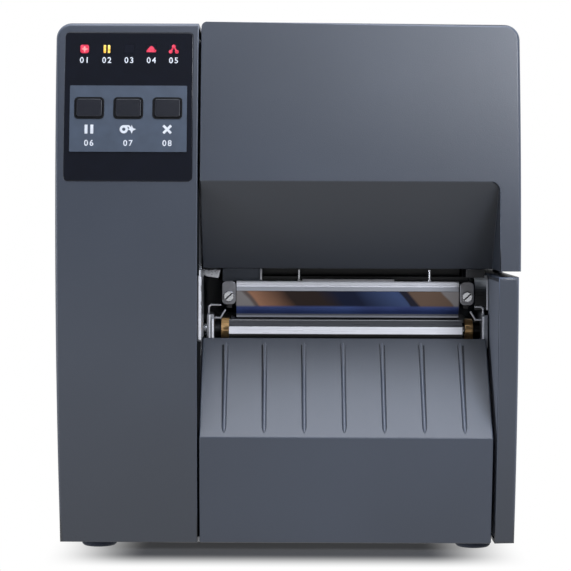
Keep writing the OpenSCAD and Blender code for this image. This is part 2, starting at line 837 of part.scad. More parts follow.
carrier_x = [tear_x[0] - 1.6, tear_x[1] + 4.1];
cheek_t = 3;
head_front = platen_yz[0] - 6;
head_low = platen_z + platen_r + 0.5;
deck_z = pivot_z - 2;
deck_t = 3;
head_side_x = [carrier_x[0] - 2.4, carrier_x[1] + 2.4];
end_w = 7.7;
bar_z = [platen_z + 21.6, platen_z + 26.9];
screw_z = platen_z + 18.8;
sink_z = [head_low + 4.5, deck_z - deck_t - 0.2];
strip_x = [tear_x[0] + 3.9, tear_x[1] - 1.5];

module head_pivot_shaft() {
    color("silver") rod_x(pivot_yz, shaft_r, frame_left, carrier_x[1] + 1.5);
}

module cheek_2d() {
    difference() {
        union() {
            polygon([[head_front, head_low + 3.5], [head_front, deck_z - 8], [head_front + 8, deck_z],
                [pivot_yz[0] - 12, deck_z], pivot_yz + [0, 5], pivot_yz + [0, -6],
                [pivot_yz[0] - 40, head_low + 7],
                [pivot_yz[0] - 50, head_low + 3.5]]);
            translate(pivot_yz) circle(r = 2 * shaft_r);
        }
        translate(pivot_yz) circle(r = shaft_r + fit);
    }
}
module head_carrier() {
    color("darkgray") {
        along_x(carrier_x[0], carrier_x[0] + cheek_t) cheek_2d();
        along_x(carrier_x[1] - cheek_t, carrier_x[1]) cheek_2d();
        block([carrier_x[0] + 1, carrier_x[1] - 1], [head_front + 8, pivot_yz[0] - 12],
            [deck_z - deck_t, deck_z]);
        block([carrier_x[0] + 1, carrier_x[1] - 1], [head_front, head_front + 8], [bar_z[0], bar_z[0] + 8]);
    }
}

module heat_sink() {
    y = [head_front + 8.5, pivot_yz[0] - 46];
    fin_t = 2;
    pitch = (y[1] - y[0] - fin_t) / (fin_count - 1);
    color("gainsboro") along_x(carrier_x[0] + cheek_t + 1, carrier_x[1] - cheek_t - 1) {
        translate([y[0], sink_z[0]]) square([y[1] - y[0], 5]);
        for (i = [0 : fin_count - 1])
            translate([y[0] + i * pitch, sink_z[0] + 4]) square([fin_t, sink_z[1] - sink_z[0] - 4]);
    }
}

module print_line_strip() {
    color("ivory")
        block([strip_x[0] + 0.4, strip_x[1] - 0.4], [head_front + 1.5, head_front + 14],
            [head_low, sink_z[0]]);
}

module strip_plate() {
    y = head_front;
    color("silver") along_x(strip_x[0] - 0.1, strip_x[1] + 0.1)
        polygon([[y - 6, bar_z[0] - 0.1], [y - 4, head_low + 5.1], [y - 0.6, head_low - 0.4],
            [y - 0.6, head_low - 1.5], [y + 0.8, head_low - 1.5], [y + 0.8, head_low + 0.5],
            [y - 2.8, head_low + 5.5], [y - 4.8, bar_z[0] - 0.1]]);
}

module front_bar() {
    y = [head_front - 6, head_front];
    groove = bar_z[0] + 2.2;
    color("whitesmoke") {
        along_x(strip_x[0], strip_x[1])
            polygon([[y[0], bar_z[0]], [y[0], groove], [y[0] + 0.6, groove + 0.3],
                [y[0] + 0.6, groove + 0.9], [y[0], groove + 1.2], [y[0], bar_z[1] - 0.6],
                [y[0] + 0.6, bar_z[1]], [y[1], bar_z[1]], [y[1], bar_z[0]]]);
        // Raised lip along the middle
        block([path_x - 0.186 * tear_len, path_x + 0.21 * tear_len], [y[0] + 1.2, y[0] + 2.4],
            [bar_z[1] - 0.5, bar_z[1] + 1.2]);
    }
}

module head_end_brackets() {
    z = [platen_z + 14.2, platen_z + 27.1];
    y = head_front - 8;
    color("lightgray") {
        for (x = [head_side_x[0] + end_w / 2, head_side_x[1] - end_w / 2])
            along_y(y, y + 1.8)
                translate([x, (z[0] + z[1]) / 2]) polygon(round_rect(end_w, z[1] - z[0], 2.5));
        block([head_side_x[0], carrier_x[0]], [y + 1, head_front + 7], [z[0] + 2.6, z[1] - 2.6]);
        block([carrier_x[1], head_side_x[1]], [y + 1, head_front + 7], [z[0] + 2.6, z[1] - 2.6]);
    }
}

module head_screws() {
    color("whitesmoke")
        for (x = [head_side_x[0] + end_w / 2, head_side_x[1] - end_w / 2])
            rod_y([x, screw_z], 2.9, head_front - 10, head_front - 8);
}

// Head latch: a spiral cam lets the head rise as the lever turns

cam_low = latch_r + 1.2;
cam_w = 9;
cam_out = 0.265;
function cam_point(a, r) = [-r * sin(a), -r * cos(a)];
function cam_outline() = concat(
    [for (i = [0 : 15]) cam_point(cam_turn * i / 15, cam_r - (cam_r - cam_low) * i / 15)],
    [for (a = [100 : 20 : 340]) cam_point(a, cam_low)]);

lever_x = [carrier_x[1] + 2.7, carrier_x[1] + 6];
lever_len = 38;

module latch_shaft() {
    color("silver") rod_x(latch_yz, latch_r, frame_left - 4, lever_x[1]);
}
module pressure_cams() {
    color("dimgray")
        for (x = [path_x - cam_out * tear_len, path_x + cam_out * tear_len])
            along_x(x - cam_w / 2, x + cam_w / 2) translate(latch_yz) difference() {
                polygon(cam_outline());
                circle(r = latch_r);
            }
}
module head_lever() {
    color("teal") along_x(lever_x[0], lever_x[1]) translate(latch_yz) difference() {
        union() {
            circle(r = 2.2 * latch_r);
            polygon([[-4, 0], [4, 0], [3, lever_len - 6], [5, lever_len],
                [-5, lever_len], [-3, lever_len - 6]]);
        }
        circle(r = latch_r);
    }
}

// Media path

platform_y = [bracket_back + clear, pivot_yz[0] + 34];
platform_z = platen_z + 1;
platform_t = 2;
platform_drop = 14;
guide_x = tear_x[1] - 0.6;

module media_platform() {
    color("silver") {
        block([frame_x, side_x - clear], platform_y, [platform_z, platform_z + platform_t]);
        block([frame_x, side_x - clear], [platform_y[1] - platform_t, platform_y[1]],
            [platform_z - platform_drop, platform_z + 1]);
        block([frame_x, frame_x + platform_t], [platform_y[0] + 12, platform_y[1]],
            [platform_z - platform_drop, platform_z + 1]);
    }
}
sensor_w = 24;
module media_sensor() {
    color("black")
        block([path_x - sensor_w / 2, path_x + sensor_w / 2], [platform_y[0] + 14, platform_y[0] + 34],
            [platform_z - 10, platform_z]);
}
module edge_guide() {
    top = platform_z + platform_t + clear;
    y = [pivot_yz[0] + 10, pivot_yz[0] + 28];
    color("teal") {
        block([guide_x - 10, guide_x], y, [top, top + 3]);
        block([guide_x - 2, guide_x], y, [top, top + 14]);
    }
}

dancer_end = dancer_yz + [40, 16];
dancer_x = [frame_x + 2, frame_x + 5];
dancer_len = lower_left - dancer_short - dancer_x[1];
dancer_boss_r = 7.5;
dancer_h = 10;

module dancer_arm() {
    color("dimgray") {
        rod_x(dancer_yz, shaft_r, frame_left - 2, dancer_x[1]);
        along_x(dancer_x[0], dancer_x[1]) {
            translate(dancer_yz) circle(r = dancer_boss_r);
            translate(dancer_end) circle(r = dancer_boss_r);
            translate(dancer_yz) rotate(atan2(dancer_end[1] - dancer_yz[1], dancer_end[0] - dancer_yz[0]))
                translate([0, -dancer_h / 2]) square([norm(dancer_end - dancer_yz), dancer_h]);
        }
    }
}
module dancer_roller() {
    color("gainsboro") rod_x(dancer_end, dancer_r, dancer_x[1], dancer_x[1] + dancer_len);
}

hanger_h = 14;
hanger_r = 5;
tip_t = 3;
hanger_len = lower_left - hanger_short - frame_x;

module hanger_arm() {
    color("#303238") {
        along_x(frame_x, frame_x + hanger_len)
            translate(hanger_yz) polygon(round_rect(hanger_d, hanger_h, hanger_r));
        along_x(frame_x, frame_x + tip_t)
            translate(hanger_yz) polygon(round_rect(hanger_d + 16, hanger_h + 24, hanger_r));
        along_x(frame_x + hanger_len - tip_t, frame_x + hanger_len) translate(hanger_yz + [0, 6])
            polygon(round_rect(hanger_d, hanger_h + 12, hanger_r));
    }
}
module roll_guide() {
    x = frame_x + hanger_len - 12;
    color("teal") along_x(x - tip_t, x) translate(hanger_yz) difference() {
        circle(r = hanger_d / 2 + 16);
        polygon(round_rect(hanger_d + 2 * clear, hanger_h + 2 * clear, hanger_r + clear));
    }
}

// Ribbon spindles

spindle_gap = 0.8;
spindle_disc = 2;
clutch_r = 14;
clutch_len = 10;

module spindle(yz, x_shaft) {
    x = frame_x + spindle_gap;
    rod_x(yz, shaft_r, x_shaft, x + through);
    rod_x(yz, spindle_r + 9, x, x + spindle_disc);
    along_x(x, x + spindle_len) translate(yz) difference() {
        circle(r = spindle_r);
        for (a = [0 : 90 : 270])
            rotate(a) translate([spindle_r - 2.5, -2]) square([4, 4]);
    }
}
module take_up_spindle() color("gainsboro") spindle(take_up_yz, belt_x - pulley_side);
module supply_spindle() color("gainsboro") spindle(supply_yz, frame_left - clutch_len);
module supply_clutch() {
    color("dimgray") difference() {
        rod_x(supply_yz, clutch_r, frame_left - clutch_len, frame_left - clear);
        rod_x(supply_yz, shaft_r, frame_left - clutch_len - through, frame_left);
    }
}

// Belt drive

belt_gap = 0.25;
tooth_pitch = 3;
tooth_h = 1;

function tooth_count(r) = floor(2 * PI * r / tooth_pitch);
function pulley_outline(r) = let (n = tooth_count(r)) [
    for (i = [0 : n - 1], p = [[0, 0], [0.12, 1], [0.5, 1], [0.62, 0]])
        let (a = 360 * (i + p[0]) / n, q = r - tooth_h * (1 - p[1])) [q * cos(a), q * sin(a)]];

module pulley(yz, r, bore) {
    along_x(belt_x - clear, belt_x + belt_w + clear) translate(yz) difference() {
        polygon(pulley_outline(r));
        circle(r = bore);
    }
    for (x = [belt_x - pulley_side, belt_x + belt_w + clear])
        along_x(x, x + pulley_side - clear) translate(yz) difference() {
            circle(r = r + belt_gap + belt_t + 0.6);
            circle(r = bore);
        }
}
module platen_pulley() color("gray") pulley(platen_yz, platen_pulley_r, shaft_r);
module motor_pulley() color("gray") pulley(motor_yz, motor_pulley_r, motor_shaft_r);
module take_up_pulley() color("gray") pulley(take_up_yz, take_up_pulley_r, shaft_r);

module belt_loop(extra) {
    hull() {
        translate(platen_yz) circle(r = platen_pulley_r + extra);
        translate(motor_yz) circle(r = motor_pulley_r + extra);
        translate(take_up_yz) circle(r = take_up_pulley_r + extra);
    }
}
module drive_belt() {
    color("black") along_x(belt_x, belt_x + belt_w) difference() {
        belt_loop(belt_gap + belt_t);
        belt_loop(belt_gap);
    }
}

motor_shaft_r = 2.5;
motor_x = [x_l + motor_in, bracket_plate_x];
pilot_r = 11;
plate_low = -motor_w / 2 - 5;
plate_size = [motor_w + 14, motor_w + 22];
posts = [[-motor_w / 2, -motor_w / 2], [motor_w / 2, -motor_w / 2],
    [motor_w / 2 + 4, motor_w / 2], [-6, motor_w / 2 + 12]];

module drive_bracket() {
    color("lightgray") {
        along_x(bracket_plate_x, bracket_plate_x + bracket_plate_t) translate(motor_yz) difference() {
            translate([plate_low, plate_low]) square(plate_size);
            circle(r = pilot_r);
        }
        for (p = posts)
            rod_x(motor_yz + p, 3, bracket_plate_x + bracket_plate_t, frame_left);
    }
}
module stepper_motor() {
    cap = 9;
    color("#303030") difference() {
        union() {
            for (x = [motor_x[0], motor_x[1] - cap])
                along_x(x, x + cap) translate(motor_yz) polygon(round_rect(motor_w, motor_w, 5));
            along_x(motor_x[0] + cap, motor_x[1] - cap) translate(motor_yz)
                polygon(round_rect(motor_w - 3, motor_w - 3, 9));
        }
        rod_x(motor_yz, motor_shaft_r + fit, motor_x[1] - cap, motor_x[1] + through);
    }
}
module motor_shaft() {
    color("silver") rod_x(motor_yz, motor_shaft_r, motor_x[1] - 8, belt_x + belt_w + pulley_side);
}

// Electronics and rear

logic_y = [y_b - 246, y_b - 36];
logic_z = [95, body_h - 72];
supply_x = [x_l + 11, frame_left - 14];
supply_y = [y_b - 172, y_b - 32];
supply_z = 80;
inlet = [x_l + 36, 36];
rocker = [x_l + 36, 66];
rocker_pivot_y = y_b - 7;
rocker_tilt = 8;
rocker_w = 14;
rocker_pin_r = 1.5;
port_x = x_l + 33;
ports = [[[port_x, 112], [20, 11]], [[port_x, 140], [13, 12]], [[port_x, 166], [16, 14]]];
slot_x = [frame_x + 6, lower_left - 8.5];
slot_z = [52, 64];
spot_z = [20, body_h - 22];
rear_spots = [for (x = [x_l + 9, frame_x + 16, x_r - 21], z = spot_z) [x, z]];
screw_r = 3.2;

cap_r = 5;
cap_pitch = 14;

module logic_board() {
    color("darkgreen") {
        block([logic_x, logic_x + board_t], logic_y, logic_z);
        for (y = [logic_y[0] + 6, logic_y[1] - 6], z = [logic_z[0] + 6, logic_z[1] - 6])
            rod_x([y, z], 2.5, logic_x + board_t, frame_left);
        // Processor, edge connector, memory row and capacitors
        translate([logic_x, logic_y[0], logic_z[0]]) {
            block([-4, 0], [70, 100], [35, 65]);
            block([-12, 0], [8, 18], [18, 74]);
            block([-9, 0], [120, 180], [5, 13]);
        }
        for (i = [0 : 4])
            rod_x([logic_y[1] - 80 + i * cap_pitch, logic_z[1] - 19], cap_r, logic_x - 14, logic_x);
    }
}
grille_pitch = 13;
module power_supply() {
    color("silver") difference() {
        block(supply_x, supply_y, [pan_z, supply_z]);
        for (i = [0 : 8])
            block([supply_x[0] + 6, supply_x[1] - 6],
                [supply_y[0] + 12 + i * grille_pitch, supply_y[0] + 18 + i * grille_pitch],
                [supply_z - 3, supply_z + through]);
    }
}

module rear_cut(c, s) {
    block([c[0] - s[0] / 2, c[0] + s[0] / 2], [inner_y_b - through, y_b + through],
        [c[1] - s[1] / 2, c[1] + s[1] / 2]);
}
inlet_size = [28, 22];
rocker_size = [rocker_w + 2, 22];

module rear_panel() {
    color("slategray") {
        difference() {
            along_y(inner_y_b, y_b) polygon(concat(
                arc([x_l + edge_r, cover_top - edge_r], edge_r, 180, 90),
                arc([x_r - edge_r, cover_top - edge_r], edge_r, 90, 0),
                [[lower_right, base_z], [x_l + cover_draft, base_z]]));
            rear_cut(inlet, inlet_size);
            rear_cut(rocker, rocker_size);
            for (p = ports)
                rear_cut(p[0], p[1]);
            block(slot_x, [inner_y_b - through, y_b + through], slot_z);
            for (s = rear_spots)
                rod_y(s, screw_r + 0.1, y_b - 2, y_b + through);
        }
        // Cheeks that carry the rocker's pin
        for (x = [rocker[0] - rocker_size[0] / 2 - 1.7, rocker[0] + rocker_size[0] / 2])
            difference() {
                block([x, x + 1.7], [rocker_pivot_y - 5, inner_y_b], [rocker[1] - 6, rocker[1] + 6]);
                rod_x([rocker_pivot_y, rocker[1]], rocker_pin_r + fit, x - through, x + 3);
            }
    }
}
module rear_screws() {
    color("gray")
        for (s = rear_spots)
            rod_y(s, screw_r, y_b - 2, y_b - 0.3);
}

// A socket is a shell with an open mouth and a core inside
module socket(c, s, deep, wall, core) {
    difference() {
        block([c[0] - s[0] / 2 + 0.1, c[0] + s[0] / 2 - 0.1], [y_b - deep, y_b - 0.2],
            [c[1] - s[1] / 2 + 0.1, c[1] + s[1] / 2 - 0.1]);
        block([c[0] - s[0] / 2 + wall, c[0] + s[0] / 2 - wall], [y_b - deep + 2, y_b + through],
            [c[1] - s[1] / 2 + wall, c[1] + s[1] / 2 - wall]);
    }
    block([c[0] - core[0] / 2, c[0] + core[0] / 2], [y_b - deep + 1, y_b - 4],
        [c[1] - core[1] / 2, c[1] + core[1] / 2]);
}
module rear_sockets() {
    color("#26282c") {
        socket(inlet, inlet_size, 22, 1.5, [14, 3]);
        for (p = ports)
            socket(p[0], p[1], 16, 1, [p[1][0] / 2, 2]);
    }
}

module power_rocker() {
    color("black") {
        along_x(rocker[0] - rocker_w / 2, rocker[0] + rocker_w / 2)
            translate([rocker_pivot_y, rocker[1]]) rotate(-rocker_tilt)
                polygon([[-4, -8], [5.2, -9.5], [4, 0], [5.2, 9.5], [-4, 8]]);
        rod_x([rocker_pivot_y, rocker[1]], rocker_pin_r,
            rocker[0] - rocker_w / 2 - 2.5, rocker[0] + rocker_w / 2 + 2.5);
    }
}

base_pan();
rubber_feet();
main_frame();
rear_panel();
rear_screws();
left_cover();
panel_overlay();
key_plate();
indicator_lenses();
panel_board();
front_bezel();
upper_door();
door_window();
door_hinge_pins();
door_latch();
lower_door();
lower_door_liner();
fold_hinge_pins();
pause_key();
feed_key();
cancel_key();
platen_bracket_left();
mechanism_side_plate();
platen_bushings();
tear_bar();
guide_wires();
platen_shaft();
platen_rubber();
platen_pulley();
head_pivot_shaft();
head_carrier();
heat_sink();
print_line_strip();
strip_plate();
front_bar();
head_end_brackets();
head_screws();
latch_shaft();
pressure_cams();
head_lever();
media_platform();
media_sensor();
edge_guide();
dancer_arm();
dancer_roller();
hanger_arm();
roll_guide();
take_up_spindle();
take_up_pulley();
supply_spindle();
supply_clutch();
drive_bracket();
stepper_motor();
motor_shaft();
motor_pulley();
drive_belt();
logic_board();
power_supply();
rear_sockets();
power_rocker();
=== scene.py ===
"""Looks of an industrial tabletop label printer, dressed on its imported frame.

Each sub-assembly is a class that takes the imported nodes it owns, rounds their edges, adds the details the
construction leaves out and gives every surface its finish.
"""

from __future__ import annotations

import json
import logging
import math
from dataclasses import dataclass
from enum import Enum
from typing import Callable, Sequence

import bmesh
import bpy
from mathutils import Matrix, Vector

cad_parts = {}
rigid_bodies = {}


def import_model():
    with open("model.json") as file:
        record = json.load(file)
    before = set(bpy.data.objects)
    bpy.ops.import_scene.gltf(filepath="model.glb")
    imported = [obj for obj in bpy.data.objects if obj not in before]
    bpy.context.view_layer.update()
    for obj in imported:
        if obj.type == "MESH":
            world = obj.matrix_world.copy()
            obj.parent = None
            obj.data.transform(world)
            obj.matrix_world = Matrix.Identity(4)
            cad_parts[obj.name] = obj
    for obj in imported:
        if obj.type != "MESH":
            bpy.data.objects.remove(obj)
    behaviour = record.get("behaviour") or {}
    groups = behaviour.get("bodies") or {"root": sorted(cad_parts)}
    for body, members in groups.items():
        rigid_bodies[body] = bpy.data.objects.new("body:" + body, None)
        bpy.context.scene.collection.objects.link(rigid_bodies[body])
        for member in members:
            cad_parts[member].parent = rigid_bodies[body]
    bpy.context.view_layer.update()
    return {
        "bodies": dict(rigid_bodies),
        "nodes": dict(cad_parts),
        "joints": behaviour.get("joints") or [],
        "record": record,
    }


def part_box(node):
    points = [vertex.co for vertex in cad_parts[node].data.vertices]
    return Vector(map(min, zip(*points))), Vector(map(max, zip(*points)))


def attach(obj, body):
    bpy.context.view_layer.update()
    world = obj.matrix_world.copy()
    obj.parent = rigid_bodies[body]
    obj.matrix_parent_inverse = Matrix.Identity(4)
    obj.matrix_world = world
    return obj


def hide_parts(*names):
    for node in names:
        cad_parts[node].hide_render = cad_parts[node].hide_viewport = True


LOG = logging.getLogger("label_printer")
MM = 0.001
NOISE = (0.3, 0.7)
CREASE = math.radians(32)
ALONG = 0.9
BLACK = (0.0, 0.0, 0.0)
WHITE = (1.0, 1.0, 1.0)
Pair = tuple[float, float]
Triple = tuple[float, float, float]
Colour = Triple
Outline = Sequence[Pair]
Material = bpy.types.Material
BMesh = bmesh.types.BMesh
Chooser = Callable[[Vector, Vector], float]


def srgb(*levels: int) -> Colour:
    """Turn an 8-bit display colour into linear light.

    Args:
        levels: Red, green and blue, 0 to 255.

    Returns:
        The three linear levels.
    """
    parts = [level / 255.0 for level in levels]
    return tuple(part / 12.92 if part <= 0.04045 else ((part + 0.055) / 1.055) ** 2.4 for part in parts)


class Signal:
    """A shader socket that takes part in ordinary arithmetic."""

    def __init__(self, graph: Graph, socket: bpy.types.NodeSocket) -> None:
        """Keep the graph and the output socket."""
        self.graph = graph
        self.socket = socket

    def __add__(self, other: object) -> Signal:
        """Sum."""
        return self.graph.maths("ADD", self, other)

    def __radd__(self, other: object) -> Signal:
        """Sum with a plain number first."""
        return self.graph.maths("ADD", other, self)

    def __sub__(self, other: object) -> Signal:
        """Difference."""
        return self.graph.maths("SUBTRACT", self, other)

    def __rsub__(self, other: object) -> Signal:
        """Difference from a plain number."""
        return self.graph.maths("SUBTRACT", other, self)

    def __mul__(self, other: object) -> Signal:
        """Product."""
        return self.graph.maths("MULTIPLY", self, other)

    def __rmul__(self, other: object) -> Signal:
        """Product with a plain number first."""
        return self.graph.maths("MULTIPLY", other, self)

    def ramp(self, low: float, high: float, start: float, end: float, soft: bool = False) -> Signal:
        """Map the span low to high onto start to end, held at both ends.

        Args:
            low: Value that maps to start.
            high: Value that maps to end.
            start: Result at low.
            end: Result at high.
            soft: Ease in and out rather than run straight.

        Returns:
            The mapped signal.
        """
        kind = "SMOOTHSTEP" if soft else "LINEAR"
        return self.graph.node("ShaderNodeMapRange", {"clamp": True, "interpolation_type": kind},
                               {0: self, 1: low, 2: high, 3: start, 4: end})

    def share(self) -> Signal:
        """Level 0 to 1 over the span in which most of a noise lies."""
        return self.ramp(*NOISE, 0.0, 1.0)

    def about(self, middle: float, less: float, more: float) -> Signal:
        """A value that a noise moves from a little under to a little over its middle."""
        return self.ramp(*NOISE, middle - less, middle + more)


class Graph:
    """A shader node tree that is filled node by node."""

    def __init__(self, tree: bpy.types.NodeTree) -> None:
        """Take a tree and empty it."""
        self.tree = tree
        tree.nodes.clear()

    def feed(self, socket: bpy.types.NodeSocket, value: object) -> None:
        """Link a signal to a socket, or set the socket's own value.

        Args:
            socket: Socket to feed.
            value: A signal, a colour or a plain value.
        """
        if isinstance(value, Signal):
            self.tree.links.new(value.socket, socket)
        elif isinstance(value, tuple) and len(value) == 3 and socket.type == "RGBA":
            socket.default_value = (*value, 1.0)
        else:
            socket.default_value = value

    def node(self, kind: str, settings: dict[str, object], inputs: dict[object, object],
             output: int | str = 0) -> Signal:
        """Add one node, settings first and then its sockets.

        Args:
            kind: Node type.
            settings: Properties of the node.
            inputs: Values or signals by socket name or number.
            output: Number or name of the output to hand back.

        Returns:
            The chosen output.
        """
        made = self.tree.nodes.new(kind)
        for key, value in settings.items():
            setattr(made, key, value)
        for key, value in inputs.items():
            self.feed(made.inputs[key], value)
        return Signal(self, made.outputs[output])

    def maths(self, kind: str, *values: object) -> Signal:
        """Join values by one maths node."""
        return self.node("ShaderNodeMath", {"operation": kind}, dict(enumerate(values)))

    def spot(self, kind: str = "Object") -> Signal:
        """One kind of place, by default the position on the object in metres."""
        return self.node("ShaderNodeTexCoord", {}, {}, kind)

    def axis(self, letter: str, kind: str = "Object") -> Signal:
        """One coordinate of a place."""
        return self.node("ShaderNodeSeparateXYZ", {}, {0: self.spot(kind)}, letter)

    def ray(self, kind: str) -> Signal:
        """Level 1 for one kind of light ray."""
        return self.node("ShaderNodeLightPath", {}, {}, f"Is {kind} Ray")

    def noise(self, scale: float, detail: float = 2.0, stretch: Sequence[float] = (1, 1, 1)) -> Signal:
        """Smooth noise on the object.

        Args:
            scale: Grains per metre.
            detail: Octaves.
            stretch: Factor on each coordinate before the noise is read.

        Returns:
            The noise level, about 0 to 1.
        """
        spot = self.node("ShaderNodeMapping", {}, {"Vector": self.spot(), "Scale": tuple(stretch)})
        return self.node("ShaderNodeTexNoise", {}, {"Vector": spot, "Scale": scale, "Detail": detail})

    def mix(self, factor: object, first: object, second: object) -> Signal:
        """Blend two colours."""
        return self.node("ShaderNodeMix", {"data_type": "RGBA"}, {0: factor, 6: first, 7: second}, 2)


class Surface(Graph):
    """The tree of one material, with a Principled shader at its end."""

    def __init__(self, name: str) -> None:
        """Start the material.

        Args:
            name: Name of the material.
        """
        self.material = bpy.data.materials.new(name)
        self.material.use_nodes = True
        super().__init__(self.material.node_tree)
        self.output = self.tree.nodes.new("ShaderNodeOutputMaterial")
        self.shader = self.tree.nodes.new("ShaderNodeBsdfPrincipled")
        self.tree.links.new(self.shader.outputs[0], self.output.inputs["Surface"])

    def rims(self) -> tuple[Signal, Signal]:
        """Masks for painted light: where a moulding is rounded and where it overhangs.

        Returns:
            Level 1 on rounded edges that don't look down, for a painted highlight, and level 1 on slanted
            faces that do, for painted shade.
        """
        most: object = 0.0
        for letter in "XYZ":
            most = self.maths("MAXIMUM", self.maths("ABSOLUTE", self.axis(letter, "Normal")), most)
        under = self.axis("Z", "Normal").ramp(-0.3, -0.1, 1.0, 0.0)
        return most.ramp(0.75, 0.96, 1.0, 0.0) * (1.0 - under), under

    def bump(self, height: Signal, depth: float) -> None:
        """Raise the surface by a height signal, depth in metres."""
        inputs = {"Height": height, "Distance": depth, "Strength": 1.0}
        self.put(Normal=self.node("ShaderNodeBump", {}, inputs))

    def put(self, **values: object) -> None:
        """Set sockets of the shader, spaces in their names written as underscores."""
        for key, value in values.items():
            self.feed(self.shader.inputs[key.replace("_", " ")], value)


@dataclass(frozen=True)
class Finish:
    """A named finish, the slot of the record that it belongs to, and its main colour."""

    name: str
    slot: str
    colour: Colour

    def tone(self, factor: float) -> Colour:
        """The main colour, made lighter or darker by a factor."""
        return tuple(level * factor for level in self.colour)

    def make(self) -> Material:
        """Build the material.

        Returns:
            The new material.
        """
        graph = Surface(self.name)
        self.fill(graph)
        return graph.material

    def fill(self, graph: Surface) -> None:
        """Lay the finish's nodes in a new tree."""
        raise NotImplementedError


@dataclass(frozen=True)
class Moulded(Finish):
    """Textured moulded plastic, which can have a painted highlight on its rounded edges, painted shade on
    faces that look down, and painted shade that grows upwards.
    """

    rough: float = 0.46
    grain: float = 2600.0
    depth: float = 0.00004
    drift: float = 0.10
    gloss: float = 0.5
    # Painted highlight on rounded edges, as a share added to the main colour; 0 leaves none.
    edge: float = 0.0
    # Tone of the painted shade, as a factor on the main colour.
    shade: float = 0.62
    # Heights in millimetres over which painted shade grows towards the top.
    painted_shade_rise: Pair | None = None

    def fill(self, graph: Surface) -> None:
        """Lay grain, slow drift of tone, the painted edge highlight and the painted shade.

        Args:
            graph: Tree of the new material.
        """
        fine = graph.noise(self.grain, 3.0)
        tone = graph.mix(graph.noise(9.0).share(), self.tone(1.0 - self.drift), self.tone(1.0 + self.drift))
        # Painted highlight on rounded edges, and painted shade on slanted faces that look down.
        if self.edge:
            rim, under = graph.rims()
            tone = graph.mix(rim, tone, self.tone(1.0 + self.edge))
            tone = graph.mix(under, tone, self.tone(self.shade))
        # Painted shade that grows towards the top, where the hood shades the slope.
        if self.painted_shade_rise:
            low, high = self.painted_shade_rise
            rise = graph.axis("Z").ramp(low * MM, high * MM, 0.0, 1.0, soft=True)
            tone = graph.mix(rise, tone, self.tone(self.shade))
        graph.put(Base_Color=tone, Roughness=fine.about(self.rough, 0.05, 0.06),
                  Specular_IOR_Level=self.gloss)
        graph.bump(fine, self.depth)


@dataclass(frozen=True)
class Film(Finish):
    """Printed glossy film with a soft ripple."""

    rough: float = 0.16
    coat: float = 0.6
    shine: float = 0.5
    dim: float = 0.82

    def fill(self, graph: Surface) -> None:
        """Lay the ripple under a clear coat.

        Args:
            graph: Tree of the new material.
        """
        ripple = graph.noise(160.0, 1.0)
        graph.put(Base_Color=graph.mix(ripple.share(), self.colour, self.tone(self.dim)),
                  Roughness=ripple.ramp(0.2, 0.8, self.rough - 0.03, self.rough + 0.04),
                  Coat_Weight=self.coat, Coat_Roughness=0.08, Specular_IOR_Level=self.shine)
        graph.bump(ripple, 0.00006)


@dataclass(frozen=True)
class Metal(Finish):
    """Metal with fine lines along one axis, or an even grain."""

    rough: float = 0.3
    lines: Triple = (1.0, 1.0, 1.0)
    grain: float = 1500.0
    contrast: float = 0.16

    def fill(self, graph: Surface) -> None:
        """Lay the lines in tone, roughness and height.

        Args:
            graph: Tree of the new material.
        """
        fine = graph.noise(self.grain, 3.0, self.lines)
        both = fine * 0.5 + graph.noise(30.0) * 0.5
        graph.put(Base_Color=graph.mix(fine.share(), self.tone(1.0 - self.contrast), self.colour),
                  Metallic=1.0, Roughness=both.about(self.rough, 0.06, 0.08))
        graph.bump(fine, 0.000012)


@dataclass(frozen=True)
class Banded(Finish):
    """Metal whose tone steps at set places along one axis, as painted highlights and painted shade."""

    axis: str = "Z"
    bands: tuple[tuple[float, Colour], ...] = ()
    rough: float = 0.3
    metallic: float = 1.0
    soft: float = 0.12
    worn: Colour = srgb(60, 62, 66)

    def fill(self, graph: Surface) -> None:
        """Lay the bands of painted highlight and shade, then fine lines of wear.

        Args:
            graph: Tree of the new material.
        """
        place = graph.axis(self.axis)
        lines = graph.noise(1400.0, 3.0, (0.04, 1, 1))
        tone: object = self.colour
        for start, colour in self.bands:
            step = place.ramp((start - self.soft) * MM, (start + self.soft) * MM, 0.0, 1.0)
            tone = graph.mix(step, tone, colour)
        graph.put(Base_Color=graph.mix(lines.ramp(*NOISE, 0.0, 0.16), tone, self.worn),
                  Metallic=self.metallic, Roughness=lines.about(self.rough, 0.05, 0.07))
        graph.bump(lines, 0.000010)


